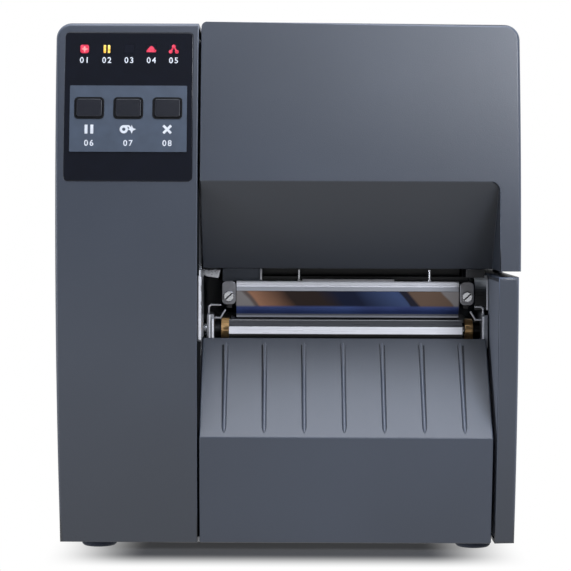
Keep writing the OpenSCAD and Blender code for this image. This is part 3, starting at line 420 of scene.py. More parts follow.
@dataclass(frozen=True)
class PaintedReflectionPlate(Finish):
    """Polished plate with painted reflections that run from straw and brown to blue."""

    fold: float = 126.6
    foot: float = 122.0
    span: Pair = (-27.6, 93.6)

    def fill(self, graph: Surface) -> None:
        """Lay the painted reflections along the plate, a blue painted reflection below its fold and a painted
        highlight on its foot.

        Args:
            graph: Tree of the new material.
        """
        along = graph.axis("X").ramp(self.span[0] * MM, self.span[1] * MM, 0.0, 1.0)
        height = graph.axis("Z")
        lean = height.ramp(self.fold * MM, (self.fold + 8.0) * MM, 0.03, -0.03)
        reach = along + (graph.noise(55.0, 1.0) * 0.05 - 0.025) - lean
        tone: object = self.colour
        # Painted reflections that change along the plate.
        for start, end, tint in ((0.045, 0.06, srgb(98, 86, 82)), (0.07, 0.085, srgb(156, 114, 90)),
                                 (0.09, 0.25, srgb(46, 36, 33)), (0.38, 0.46, srgb(22, 29, 52)),
                                 (0.55, 0.72, srgb(62, 78, 116)), (0.745, 0.755, srgb(34, 34, 46)),
                                 (0.785, 0.80, srgb(106, 86, 73)), (0.945, 0.955, self.colour)):
            tone = graph.mix(reach.ramp(start, end, 0.0, 1.0), tone, tint)
        cloud = graph.noise(38.0, 1.0).ramp(0.35, 0.65, 0.0, 1.0)
        blue = graph.mix(cloud, srgb(68, 86, 138), srgb(58, 70, 116))
        # Blue painted reflection below the fold, light painted highlight along the foot.
        for low, high, tint in ((self.fold - 0.9, self.fold + 0.2, blue),
                                (self.foot - 0.2, self.foot + 0.2, srgb(136, 138, 146))):
            tone = graph.mix(height.ramp(low * MM, high * MM, 1.0, 0.0), tone, tint)
        graph.put(Base_Color=tone, Metallic=0.35, Specular_IOR_Level=0.12,
                  Roughness=graph.noise(900.0, 2.0, (0.05, 1, 1)).ramp(*NOISE, 0.16, 0.26))


@dataclass(frozen=True)
class Rubber(Finish):
    """Matt rubber with a ground surface."""

    shine: float = 0.5

    def fill(self, graph: Surface) -> None:
        """Lay the ground grain.

        Args:
            graph: Tree of the new material.
        """
        fine = graph.noise(1800.0, 4.0)
        graph.put(Base_Color=graph.mix(fine.ramp(0.3, 0.8, 0.0, 1.0), self.colour, self.tone(1.6)),
                  Roughness=fine.ramp(0.2, 0.8, 0.62, 0.82), Specular_IOR_Level=self.shine)
        graph.bump(fine, 0.00005)


@dataclass(frozen=True)
class Board(Finish):
    """Lacquered circuit board with rows of tracks."""

    tracks: Colour = srgb(30, 104, 70)

    def fill(self, graph: Surface) -> None:
        """Lay the tracks.

        Args:
            graph: Tree of the new material.
        """
        cells = graph.node("ShaderNodeTexVoronoi", {"distance": "MANHATTAN"},
                           {"Vector": graph.spot(), "Scale": 260.0})
        track = cells.ramp(0.30, 0.34, 0.0, 1.0)
        graph.put(Base_Color=graph.mix(track, self.colour, self.tracks),
                  Roughness=track.ramp(0.0, 1.0, 0.30, 0.42))
        graph.bump(track, 0.00003)


@dataclass(frozen=True)
class Smoked(Finish):
    """Smoked clear sheet."""

    haze: Colour = srgb(46, 50, 56)
    dense: Pair = (0.45, 0.5)

    def fill(self, graph: Surface) -> None:
        """Lay the haze.

        Args:
            graph: Tree of the new material.
        """
        haze = graph.noise(40.0)
        graph.put(Base_Color=graph.mix(haze.share(), self.colour, self.haze),
                  Roughness=haze.ramp(*NOISE, 0.05, 0.10), Alpha=haze.ramp(0.2, 0.8, *self.dense))


@dataclass(frozen=True)
class Lamp(Finish):
    """A lit printed sign: bright core, softer edge."""

    rim: Colour = WHITE
    level: float = 0.5

    def fill(self, graph: Surface) -> None:
        """Lay the glow."""
        tone = graph.mix(graph.noise(700.0, 1.0).ramp(0.35, 0.65, 0.0, 1.0), self.colour, self.rim)
        graph.put(Base_Color=tone, Roughness=0.4, Emission_Color=tone, Emission_Strength=self.level)


class Palette:
    """Every finish of the printer, made once, and the slot of each material."""

    def __init__(self) -> None:
        """Build the materials."""
        self.slots: dict[str, str] = {}
        make = self.make
        # Housing: painted highlight on rounded edges, painted shade on faces that look down.
        self.housing = make(Moulded("housing", "housing", srgb(58, 64, 75), rough=0.38, gloss=0.7, edge=1.4))
        # Bezel and ridges grow darker towards the top as painted shade; the ridges are a lighter copy of the
        # bezel as a painted highlight, and the dark strips beside them are painted shadow.
        self.bezel = make(Moulded("bezel", "housing", srgb(58, 65, 78), 0.38, gloss=0.7, painted_shade_rise=(76.0, 112.0)))
        self.ridge_painted_highlight = make(Moulded("ridge_painted_highlight", "housing", srgb(74, 81, 95), 0.36, gloss=0.7, painted_shade_rise=(76.0, 118.0)))
        self.groove = make(Moulded("groove", "housing", srgb(24, 27, 34), rough=0.5, gloss=0.3))
        self.liner = make(Moulded("liner", "liner", srgb(138, 144, 156), rough=0.6))
        self.black = make(Moulded("black_plastic", "black_plastic", srgb(26, 27, 31), rough=0.42))
        self.keys = make(Moulded("key_cap", "keys", srgb(26, 28, 36), rough=0.34, grain=1800.0))
        self.touch = make(Moulded("touch_plastic", "touch_plastic", srgb(46, 126, 132), rough=0.4))
        self.pulley = make(Moulded("pulley_plastic", "pulley", srgb(52, 54, 58), rough=0.5))
        self.ceramic = make(Moulded("ceramic", "ceramic", srgb(206, 200, 188), rough=0.3, grain=900.0))
        self.overlay = make(Film("overlay_film", "overlay", srgb(25, 27, 35), coat=0.3))
        self.plate = make(Film("key_plate_film", "key_plate", srgb(77, 87, 102), rough=0.36, coat=0.1))
        self.frame = make(Film("key_frame", "overlay", srgb(10, 11, 15), rough=0.3, coat=0.3))
        self.ink = make(Film("white_ink", "overlay", srgb(236, 240, 246), rough=0.4, coat=0.0))
        self.dark_lens = make(Film("dark_lens", "lens", srgb(30, 32, 40), rough=0.3, coat=0.0, shine=0.06))
        self.red_lamp = make(Lamp("red_lamp", "lens", srgb(206, 60, 84), srgb(176, 24, 52), 0.5))
        self.hot_lamp = make(Lamp("hot_lamp", "lens", srgb(255, 160, 150), srgb(240, 104, 112), 0.7))
        self.amber_lamp = make(Lamp("amber_lamp", "lens", srgb(250, 214, 110), srgb(226, 150, 30), 0.75))
        self.sheet_steel = make(Metal("sheet_steel", "sheet_steel", srgb(168, 170, 174), rough=0.38))
        self.zinc = make(Metal("zinc", "zinc", srgb(186, 188, 194), rough=0.30, grain=500.0))
        self.steel = make(Metal("ground_steel", "steel", srgb(196, 198, 202), 0.22, lines=(0.05, 1, 1)))
        self.cast = make(Metal("cast_zinc", "zinc", srgb(126, 126, 130), rough=0.42, grain=600.0))
        self.bright = make(Metal("bright_steel", "steel", srgb(232, 234, 238), 0.24, lines=(0.03, 1, 1)))
        self.aluminium = make(Metal("aluminium", "aluminium", srgb(190, 192, 196), 0.32, lines=(0.06, 1, 1)))
        self.brass = make(Metal("contact", "bronze", srgb(214, 186, 120), rough=0.25))
        # Near-white and hardly metallic: painted highlight on the ground sheet edges.
        self.edge = make(Banded("edge_steel_painted_highlight", "steel", srgb(252, 252, 255), "X", metallic=0.1))
        # Guard sheet: dark painted shade below the hood, turning to a white painted highlight where its bend
        # faces up.
        self.guard = make(Banded("guard_zinc_painted_light", "zinc", srgb(150, 152, 158), "Z", (
            (122.6, srgb(12, 12, 14)), (134.6, srgb(44, 46, 50)), (136.4, srgb(130, 134, 138)),
            (138.0, srgb(240, 244, 246))), metallic=0.2, soft=0.9))
        # Tear bar: painted shade on the web below, a white painted reflection on the face, a darker band of
        # painted shade on the bevel and a painted highlight on top.
        self.tear = make(Banded("tear_steel_painted_light", "steel", srgb(12, 13, 16), "Z", (
            (111.6, srgb(250, 250, 254)), (115.5, srgb(78, 79, 82)), (118.8, srgb(200, 200, 200))),
            metallic=0.15))
        # Front bar: a near-white band as a painted highlight, darker below it as painted shade where the bar
        # faces down.
        self.bar = make(Banded("bar_steel_painted_light", "steel", srgb(176, 178, 184), "Z", (
            (136.9, srgb(246, 246, 250)), (140.0, srgb(176, 174, 176))), metallic=0.2))
        # Bushings: dark at both ends as painted shade on the necks, bronze between.
        self.bronze = make(Banded("bronze", "bronze", srgb(14, 13, 13), "X", (
            (-36.05, srgb(244, 196, 132)), (101.9, srgb(14, 13, 13))), metallic=0.5))
        # Polished plate with painted reflections and a painted highlight on its foot.
        self.mirror = make(PaintedReflectionPlate("plate_painted_reflections", "polished", srgb(130, 126, 126)))
        self.rubber = make(Rubber("rubber", "rubber", srgb(40, 46, 60)))
        self.seal = make(Rubber("seal_rubber", "rubber", srgb(15, 16, 18), shine=0.08))
        self.platen = make(Rubber("platen_rubber", "rubber", srgb(40, 40, 44)))
        self.board = make(Board("board", "board", srgb(18, 74, 52)))
        self.window = make(Smoked("window", "window", srgb(30, 33, 38)))

    def make(self, finish: Finish) -> Material:
        """Make a finish and note its slot.

        Args:
            finish: The finish.

        Returns:
            Its material.
        """
        material = finish.make()
        self.slots[material.name] = finish.slot
        return material


@dataclass(frozen=True)
class Front:
    """The bowed front of the printer, an arc of a large circle seen from the side."""

    nose: float = -0.216
    radius: float = 0.650
    height: float = 0.150
    near: float = 0.00006
    facing: float = 0.9992

    def depth(self, z: float, out: float = 0.0) -> float:
        """Depth of the front at a height, moved outwards by a distance.

        Args:
            z: Height, metres.
            out: Distance in front of the surface, metres.

        Returns:
            The Y coordinate, metres.
        """
        return self.nose + self.radius - math.sqrt((self.radius + out) ** 2 - (z - self.height) ** 2)

    def even(self, mesh: bpy.types.Mesh) -> None:
        """Give the bowed front of a mesh the normals of the true bow.

        Args:
            mesh: Mesh of a piece that has part of the bow.
        """
        axis = Vector((0.0, self.nose + self.radius, self.height))
        normals = [corner.vector.copy() for corner in mesh.corner_normals]
        for face in mesh.polygons:
            for index in face.loop_indices:
                arm = mesh.vertices[mesh.loops[index].vertex_index].co - axis
                arm.x = 0.0
                true = arm.normalized()
                if abs(arm.length - self.radius) < self.near and face.normal.dot(true) > self.facing:
                    normals[index] = true
        mesh.normals_split_custom_set(normals)


class Edge(Enum):
    """Roundings of an edge, from keen to wide, in millimetres."""

    HAIR = 0.08
    KEEN = 0.1
    GROUND = 0.15
    CRISP = 0.2
    BROKEN = 0.25
    EASED = 0.3
    SOFT = 0.4
    ROUND = 0.5
    BLUNT = 0.6
    FULL = 0.7
    WIDE = 0.8


@dataclass(frozen=True)
class Rounding:
    """How the edges of a piece are rounded."""

    width: Edge
    steps: int = 2
    chooser: Chooser | None = None
    angle: float = math.radians(30.0)

    def at(self, edge: bmesh.types.BMEdge) -> float:
        """Width at one edge, in millimetres.

        Args:
            edge: The edge.

        Returns:
            The width, millimetres; 0 leaves it sharp.
        """
        if self.chooser is None:
            return self.width.value
        first, second = (end.co for end in edge.verts)
        return self.chooser((first + second) / 2, (second - first).normalized())


def points(spots: Sequence[Sequence[float]], place: Matrix = Matrix.Identity(4)) -> list[Vector]:
    """Turn millimetres in local axes into metres in the shared frame."""
    return [place @ (Vector(spot) * MM) for spot in spots]


def shift(x: float, y: float, z: float) -> Matrix:
    """A move by millimetres."""
    return Matrix.Translation(Vector((x, y, z)) * MM)


def spun(degrees: float, axis: str) -> Matrix:
    """A turn about one axis through the origin."""
    return Matrix.Rotation(math.radians(degrees), 4, axis)


def circle(steps: int) -> list[Pair]:
    """Cosine and sine of evenly spaced turns."""
    return [(math.cos(math.tau * step / steps), math.sin(math.tau * step / steps)) for step in range(steps)]


def lay_loft(mesh: BMesh, rings: Sequence[Sequence[Vector]], closed: bool = False) -> None:
    """Add a skin through rings of the same number of points.

    Args:
        mesh: Mesh to add to.
        rings: The rings, in order.
        closed: Whether the last ring joins the first; otherwise both ends are capped.
    """
    laid = [[mesh.verts.new(point) for point in ring] for ring in rings]
    pairs = list(zip(laid, laid[1:]))
    if closed:
        pairs.append((laid[-1], laid[0]))
    else:
        mesh.faces.new(laid[0][::-1])
        mesh.faces.new(laid[-1])
    for low, high in pairs:
        for here in range(len(low)):
            after = (here + 1) % len(low)
            mesh.faces.new((low[here], low[after], high[after], high[here]))


def loft(rings: Sequence[Sequence[Vector]], closed: bool = False) -> BMesh:
    """A new mesh with one skin through rings.

    Args:
        rings: The rings, in order.
        closed: Whether the last ring joins the first.

    Returns:
        The new mesh.
    """
    mesh = bmesh.new()
    lay_loft(mesh, rings, closed)
    return mesh


def prism(loop: Sequence[Vector], push: Vector) -> list[list[Vector]]:
    """The two rings of a prism: a flat outline, and its copy moved by a way."""
    return [list(loop), [point + push for point in loop]]


def lay_turned(mesh: BMesh, profile: Outline, place: Matrix, steps: int = 32) -> None:
    """Add a turned body about the local Z axis.

    Args:
        mesh: Mesh to add to.
        profile: Radius and height of each ring, millimetres, from end to end.
        place: Where the local axes stand.
        steps: Faces round the body.
    """
    lay_loft(mesh, [points([(radius * cos, radius * sin, height) for cos, sin in circle(steps)], place)
                    for radius, height in profile])


def crossed_head(radius: float, tall: float) -> BMesh:
    """A domed screw head with a cross recess, which faces +Y.

    Args:
        radius: Radius of the head, millimetres.
        tall: Height of the head, millimetres.

    Returns:
        The mesh of one head round the origin.
    """
    turns = circle(32)
    arm, reach = radius * 0.13, radius * 0.58
    cross = [min(reach, arm / max(1e-6, min(abs(sin), abs(cos)))) for cos, sin in turns]
    dome = [([radius * size] * len(turns), height)
            for size, height in ((1.0, 0.0), (1.0, 0.35), (0.93, 0.62), (0.8, 0.86), (0.62, 1.0))]
    recess = [([out * size for out in cross], height) for size, height in ((1.0, 0.98), (0.8, 0.35))]
    return loft([points([(out * cos, tall * height, out * sin) for out, (cos, sin) in zip(reaches, turns)])
                 for reaches, height in dome + recess])


def bead(wide: float, long: float, proud: float, place: Matrix = Matrix.Identity(4)) -> list[list[Vector]]:
    """The rings of a pressed stiffening bead with round ends.

    Args:
        wide: Width, along its local X, millimetres.
        long: Length, along its local Y, millimetres.
        proud: Height, along its local Z, millimetres.
        place: Where the local axes stand.

    Returns:
        The rings, from its foot to its top.
    """
    rings = []
    for inset, height in ((0.0, -0.3), (0.0, 0.0), (0.12, 0.45), (0.2, 0.8), (0.3, 1.0)):
        cut = inset * wide
        outline = Drawing.box(wide - 2 * cut, long - 2 * cut, wide * 0.5 - cut - 0.01)
        rings.append(points([(px, py, proud * height) for px, py in outline], place))
    return rings


def blade(width: float, tall: float, deep: float) -> BMesh:
    """A flat contact with a blunted tip, which points to +Y.

    Args:
        width: Its size along X, millimetres.
        tall: Its size along Z, millimetres.
        deep: Its length, millimetres.

    Returns:
        The mesh of one contact, which starts at the origin.
    """
    rings = []
    for share, depth in ((1.0, 0.0), (1.0, 0.88), (0.86, 0.96), (0.6, 1.0)):
        outline = Drawing.box(width * share, tall * share, min(width, tall) * share * 0.2)
        rings.append(points([(px, deep * depth, pz) for px, pz in outline]))
    return loft(rings)


def show(name: str, data: bpy.types.ID) -> bpy.types.Object:
    """Put new data into the scene as an object.

    Args:
        name: Name of the object.
        data: Its mesh, curve, lamp or camera.

    Returns:
        The new object.
    """
    made = bpy.data.objects.new(name, data)
    bpy.context.scene.collection.objects.link(made)
    return made


def settle(holder: bpy.types.Object) -> bpy.types.Mesh:
    """Turn an object with modifiers into a plain mesh and remove the object.

    Args:
        holder: The object, which is removed.

    Returns:
        The plain mesh.
    """
    graph = bpy.context.evaluated_depsgraph_get()
    graph.update()
    done = bpy.data.meshes.new_from_object(holder.evaluated_get(graph), depsgraph=graph)
    bpy.data.objects.remove(holder)
    return done


def plain(name: str, mesh: BMesh) -> bpy.types.Mesh:
    """Turn a working mesh, which is freed, into a plain one that is smooth between its creases.

    Args:
        name: Name of the plain mesh.
        mesh: The working mesh, which is freed.

    Returns:
        The plain mesh, smooth between its creases.
    """
    bmesh.ops.recalc_face_normals(mesh, faces=mesh.faces)
    data = bpy.data.meshes.new(name)
    mesh.to_mesh(data)
    mesh.free()
    data.shade_smooth()
    data.set_sharp_from_angle(angle=CREASE)
    return data


class Bench:
    """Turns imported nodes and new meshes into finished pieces."""

    def __init__(self, frame: dict[str, object], palette: Palette) -> None:
        """Keep the nodes, the body of each node and the finishes.

        Args:
            frame: The loaded frame.
            palette: The finishes.
        """
        record = frame["record"]
        self.nodes = frame["nodes"]
        self.palette = palette
        self.body = {node: body for body, names in record["behaviour"]["bodies"].items() for node in names}
        self.slots = palette.slots

    def dress(self, plans: dict[str, Material]) -> None:
        """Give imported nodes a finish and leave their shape.

        Args:
            plans: The finish of each node, by name.
        """
        for node, material in plans.items():
            mesh = self.nodes[node].data
            mesh.materials.clear()
            mesh.materials.append(material)
            LOG.info("dressed %s", node)

    def rounded(self, mesh: BMesh, plan: Rounding) -> bpy.types.Mesh:
        """Round the sharp edges of a mesh.

        Args:
            mesh: The mesh, which is freed.
            plan: How wide and where.

        Returns:
            The rounded mesh with its shading normals.
        """
        layer = mesh.edges.layers.float.new("bevel_weight_edge")
        sharp = [edge for edge in mesh.edges
                 if len(edge.link_faces) == 2 and edge.calc_face_angle(0.0) > plan.angle]
        widths = [plan.at(edge) for edge in sharp]
        top = max([plan.width.value, *widths])
        for edge, width in zip(sharp, widths):
            edge[layer] = width / top
            edge.smooth = width > 0.0
        data = bpy.data.meshes.new("rounded")
        mesh.to_mesh(data)
        mesh.free()
        holder = show("rounded", data)
        data.shade_smooth()
        bevel = holder.modifiers.new("round", "BEVEL")
        bevel.limit_method = "WEIGHT"
        bevel.width = top * MM
        bevel.segments = plan.steps
        bevel.use_clamp_overlap = False
        bevel.loop_slide = False
        weigh = holder.modifiers.new("weigh", "WEIGHTED_NORMAL")
        weigh.mode = "FACE_AREA"
        weigh.weight = 100
        weigh.keep_sharp = True
        return settle(holder)

    def piece(self, name: str, mesh: bpy.types.Mesh | BMesh, body: str,
              material: Material, stands_for: Sequence[str] = ()) -> bpy.types.Object:
        """Make a finished piece that rides on a body.

        Args:
            name: Name of the piece.
            mesh: Its mesh; a working mesh is freed.
            body: Body it moves with.
            material: Its finish.
            stands_for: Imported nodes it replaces.

        Returns:
            The new object.
        """
        if isinstance(mesh, BMesh):
            mesh = plain(name, mesh)
        mesh.name = name
        mesh.materials.clear()
        mesh.materials.append(material)
        made = show(name, mesh)
        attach(made, body)
        if stands_for:
            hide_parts(*stands_for)
        LOG.info("made %s: %d faces on %s", name, len(mesh.polygons), body)
        return made

    def plate(self, name: str, loop: Outline, span: Pair, body: str,
              material: Material, width: Edge) -> None:
        """Make a rounded plate with a flat outline in the front view.

        Args:
            name: Name of the piece.
            loop: Corners as X and Z, millimetres, in order.
            span: Front and back depth, millimetres.
            body: Body it moves with.
            material: Its finish.
            width: Rounding of its edges.
        """
        front, back = span
        mesh = loft(prism(points([(x, front, z) for x, z in loop]), Vector((0.0, back - front, 0.0)) * MM))
        bmesh.ops.recalc_face_normals(mesh, faces=mesh.faces)
        self.piece(name, self.rounded(mesh, Rounding(width)), body, material)

    def skin(self, node: str, material: Material, plan: Rounding) -> bpy.types.Object:
        """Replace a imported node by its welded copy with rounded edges.

        Args:
            node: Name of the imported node.
            material: Finish of the copy.
            plan: How its edges are rounded.

        Returns:
            The new object.
        """
        mesh = bmesh.new()
        mesh.from_mesh(self.nodes[node].data)
        bmesh.ops.remove_doubles(mesh, verts=mesh.verts, dist=2e-6)
        bmesh.ops.dissolve_limit(mesh, angle_limit=math.radians(0.6), verts=mesh.verts, edges=mesh.edges)
        return self.piece(node + "_skin", self.rounded(mesh, plan), self.body[node], material, [node])

    def skins(self, plans: dict[str, tuple[Material, Edge]]) -> None:
        """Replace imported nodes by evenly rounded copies."""
        for node, (material, width) in plans.items():
            self.skin(node, material, Rounding(width))


class Pattern:
    """Repeats one small item in rows from given starting points, by a node tree."""

    def __init__(self, bench: Bench) -> None:
        """Build the tree with its named inputs.

        Args:
            bench: The shared bench.
        """
        self.bench = bench
        self.tree = bpy.data.node_groups.new("pattern", "GeometryNodeTree")
        face = self.tree.interface
        face.new_socket("Geometry", in_out="OUTPUT", socket_type="NodeSocketGeometry")
        face.new_socket("Starts", in_out="INPUT", socket_type="NodeSocketGeometry")
        self.keys = {}
        for label, kind in (("Item", "NodeSocketObject"), ("Finish", "NodeSocketMaterial"),
                            ("Count", "NodeSocketInt"), ("Step", "NodeSocketVector")):
            self.keys[label] = face.new_socket(label, in_out="INPUT", socket_type=kind).identifier
        given = self.add("NodeGroupInput").outputs
        row = self.add("GeometryNodeMeshLine", Count=given["Count"], Offset=given["Step"])
        rows = self.add("GeometryNodeInstanceOnPoints", Points=given["Starts"], Instance=row.outputs[0])
        spots = self.add("GeometryNodeRealizeInstances", Geometry=rows.outputs[0])
        item = self.add("GeometryNodeObjectInfo", Object=given["Item"])
        laid = self.add("GeometryNodeInstanceOnPoints", Points=spots.outputs[0],
                        Instance=item.outputs["Geometry"])
        real = self.add("GeometryNodeRealizeInstances", Geometry=laid.outputs[0])
        done = self.add("GeometryNodeSetMaterial", Geometry=real.outputs[0], Material=given["Finish"])
        self.add("NodeGroupOutput", Geometry=done.outputs[0])

    def add(self, kind: str, **links: bpy.types.NodeSocket) -> bpy.types.Node:
        """Add one node and link its inputs.

        Args:
            kind: Node type.
            links: Outputs to link, by the name of the input.

        Returns:
            The new node.
        """
        made = self.tree.nodes.new(kind)
        for key, socket in links.items():
            self.tree.links.new(socket, made.inputs[key])
        return made

    def lay(self, name: str, item: BMesh, body: str, material: Material,
            starts: Sequence[Sequence[float]], step: Sequence[float] = (0.0, 0.0, 0.0), count: int = 1,
            stands_for: Sequence[str] = ()) -> None:
        """Make one piece of a repeated item.

        Args:
            name: Name of the piece.
            item: Mesh of one item round the origin; it is freed.
            body: Body the piece moves with.
            material: Its finish.
            starts: Place of the first item of each row, millimetres.
            step: Way to the next item of a row, millimetres.
            count: Items in a row.
            stands_for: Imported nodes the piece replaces.
        """
        one = show(name + "_item", plain(name + "_item", item))
        rows = bpy.data.meshes.new(name + "_rows")
        rows.from_pydata(points(starts), [], [])
        holder = show(name + "_rows", rows)
        modifier = holder.modifiers.new("pattern", "NODES")
        modifier.node_group = self.tree
        values = {"Item": one, "Finish": material, "Count": count, "Step": [value * MM for value in step]}
        for label, value in values.items():
            modifier[self.keys[label]] = value
        mesh = settle(holder)
        bpy.data.objects.remove(one)
        self.bench.piece(name, mesh, body, material, stands_for)


class Drawing:
    """Flat outlines for printed signs, in millimetres round their own centre."""

    @staticmethod
    def box(width: float, height: float, radius: float, x: float = 0.0) -> Outline:
        """A rectangle with round corners.

        Args:
            width: Size sideways.
            height: Size upwards.
            radius: Radius of the corners.
            x: Sideways place of the middle.

        Returns:
            The outline.
        """
        outline = []
        for turn, (sx, sz) in enumerate(((1, 1), (-1, 1), (-1, -1), (1, -1))):
            for step in range(5):
                angle = math.radians(90 * turn + 22.5 * step)
                outline.append((x + sx * (width / 2 - radius) + radius * math.cos(angle),
                                sz * (height / 2 - radius) + radius * math.sin(angle)))
        return outline

    @staticmethod
    def disc(radius: float, x: float = 0.0, z: float = 0.0, steps: int = 20) -> Outline:
        """A round dot."""
        return [(x + radius * cos, z + radius * sin) for cos, sin in circle(steps)]

    @staticmethod
    def bar(start: Pair, end: Pair, width: float) -> Outline:
        """A straight stroke.

        Args:
            start: Middle of one end.
            end: Middle of the other end.
            width: Width of the stroke.

        Returns:
            The four corners.
        """
        way = Vector((end[0] - start[0], end[1] - start[1])).normalized() * (width / 2)
        return [(start[0] - way.y, start[1] + way.x), (start[0] + way.y, start[1] - way.x),
                (end[0] + way.y, end[1] - way.x), (end[0] - way.y, end[1] + way.x)]

    @staticmethod
    def star(reach: float, waist: float) -> Outline:
        """A four-pointed star."""
        return [(size * cos, size * sin) for size, (cos, sin) in zip((reach, waist) * 4, circle(8))]


@dataclass
class Assembly:
    """A sub-assembly, which works on the shared bench."""

    bench: Bench

    @property
    def paint(self) -> Palette:
        """The finishes."""
        return self.bench.palette


@dataclass
class ControlPanel(Assembly):
    """Glossy overlay with five lights, and a lighter plate with three keys."""

    front: Front
    panel_x: float = -82.75
    overlay_proud: float = 0.3
    plate_proud: float = 0.7
    frame_proud: float = 0.92
    lens_z: float = 262.2
    lens_pitch: float = 11.606
    lens_lift: float = 0.12
    key_z: float = 231.25
    key_pitch: float = 20.267
    sign_z: float = 220.2
    light_text_z: float = 256.2
    key_text_z: float = 212.9
    text_size: float = 4.26
    text_space: float = 1.3
    text_weight: float = 0.06
    ink_t: float = 0.05
    lens_span: float = 2.4
    lens_tall: float = 4.0
    film_round: float = 0.25
    key_span: float = 1.42
    key_tall: float = 7.0
    hole_round: float = 1.9
    cap_y: float = -0.2
    cap_round: Pair = (1.5, 0.45)

    def build(self) -> None:
        """Dress the panel, its keys, lights and prints."""
        paint = self.paint
        self.bench.skin("panel_overlay", paint.overlay, Rounding(Edge.BROKEN, chooser=self.film_edges))
        self.bench.skin("key_plate", paint.plate, Rounding(Edge.CRISP, steps=4, chooser=self.plate_edges))
        self.bench.dress({"indicator_lenses": paint.dark_lens, "panel_board": paint.board})
        outer, inner = Drawing.box(15.5, 11.4, 2.1), Drawing.box(13.8, 9.8, 1.5)
        frame = ((outer, self.plate_proud), (outer, self.frame_proud), (inner, self.frame_proud),
                 (inner, self.overlay_proud))
        for name, spot in zip(("pause_key", "feed_key", "cancel_key"), self.row(self.key_pitch, 3)):
            self.bench.skin(name, paint.keys, Rounding(Edge.ROUND, steps=3, chooser=self.key_edges))
            self.hoop(name + "_frame", frame, spot, self.key_z, paint.frame)
        self.lights()
        self.signs()

    def row(self, pitch: float, count: int) -> list[float]:
        """Sideways places of a row about the panel's middle, millimetres."""
        return [self.panel_x + (step - (count - 1) / 2) * pitch for step in range(count)]

    def within(self, mid: Vector, wide: float, z: float, tall: float) -> bool:
        """Whether a point lies in a block about the panel's middle, half sizes in millimetres."""
        return abs(mid.x / MM - self.panel_x) < wide and abs(mid.z / MM - z) < tall

    def film_edges(self, mid: Vector, way: Vector) -> float:
        """Round the film's rim and leave the windows of the lights sharp."""
        at_light = self.within(mid, self.lens_pitch * self.lens_span, self.lens_z, self.lens_tall)
        return 0.0 if at_light else self.film_round

    def plate_edges(self, mid: Vector, way: Vector) -> float:
        """Round the corners of the key openings in the plate."""
        at_key = self.within(mid, self.key_pitch * self.key_span, self.key_z, self.key_tall)
        return self.hole_round if at_key and abs(way.y) > ALONG else 0.0

    def key_edges(self, mid: Vector, way: Vector) -> float:
        """Round the upright corners of a key cap widely."""
        corner, rim = self.cap_round
        return corner if abs(way.y) > ALONG and mid.y < self.cap_y else rim

    def on_bow(self, outline: Outline, x: float, z: float, proud: float) -> list[Vector]:
        """Lay an outline on the bowed front.

        Args:
            outline: Outline round its own centre, millimetres.
            x: Sideways place of the centre, millimetres.
            z: Height of the centre, millimetres.
            proud: Distance in front of the cover, millimetres.

        Returns:
            The places in the shared frame, metres.
        """
        spots = [((x + px) * MM, (z + pz) * MM) for px, pz in outline]
        return [Vector((sx, self.front.depth(sz, proud * MM), sz)) for sx, sz in spots]

    def print_on(self, name: str, outlines: Sequence[Outline], x: float, z: float, proud: float,
                 material: Material) -> None:
        """Make one piece of several printed outlines.

        Args:
            name: Name of the piece.
            outlines: Outlines round their own centre.
            x: Sideways place of the centre, millimetres.
            z: Height of the centre, millimetres.
            proud: Distance of the print's back in front of the cover, millimetres.
            material: Its finish.
        """
        mesh = bmesh.new()
        for outline in outlines:
            lay_loft(mesh, [self.on_bow(outline, x, z, out) for out in (proud, proud + self.ink_t)])
        self.bench.piece(name, mesh, "chassis", material)

    def hoop(self, name: str, layers: Sequence[tuple[Outline, float]], x: float, z: float,
             material: Material) -> None:
        """Make a closed ring through outlines, each at its own distance in front of the cover."""
        mesh = loft([self.on_bow(outline, x, z, proud) for outline, proud in layers], closed=True)
        self.bench.piece(name, mesh, "chassis", material)

    def lights(self) -> None:
        """Lit signs on the lenses, with plain numbers below."""
        paint = self.paint
        cap = [(-2.6, -1.6), (2.3, -1.6), (2.6, -0.5), (1.6, 0.0), (0.9, 1.3), (0.0, 1.8), (-0.9, 1.3),
               (-1.9, 0.1), (-2.6, -0.7)]
        bars = [Drawing.box(1.2, 4.2, 0.4, x=side * 1.1) for side in (-1, 1)]
        knots = [(0.0, 1.5), (-1.6, -1.3), (1.6, -1.3)]
        dots = [Drawing.disc(1.0, *knot) for knot in knots]
        links = [Drawing.bar(knots[0], knot, 0.9) for knot in knots[1:]]
        spots = self.row(self.lens_pitch, 5)
        for name, outlines, place, lift, material in (
                ("light_one", [Drawing.box(4.5, 4.5, 1.1)], 0, 0.0, paint.red_lamp),
                ("light_one_core", [Drawing.star(1.7, 0.75)], 0, 0.06, paint.hot_lamp),
                ("light_two", bars, 1, 0.0, paint.amber_lamp),
                ("light_four", [cap], 3, 0.0, paint.red_lamp),
                ("light_five", dots, 4, 0.0, paint.red_lamp),
                ("light_five_links", links, 4, -0.02, paint.red_lamp)):
            proud = self.overlay_proud + self.lens_lift + lift
            self.print_on(name, outlines, spots[place], self.lens_z, proud, material)
        for number, spot in enumerate(spots):
            self.number(f"0{number + 1}", spot, self.light_text_z, self.overlay_proud)

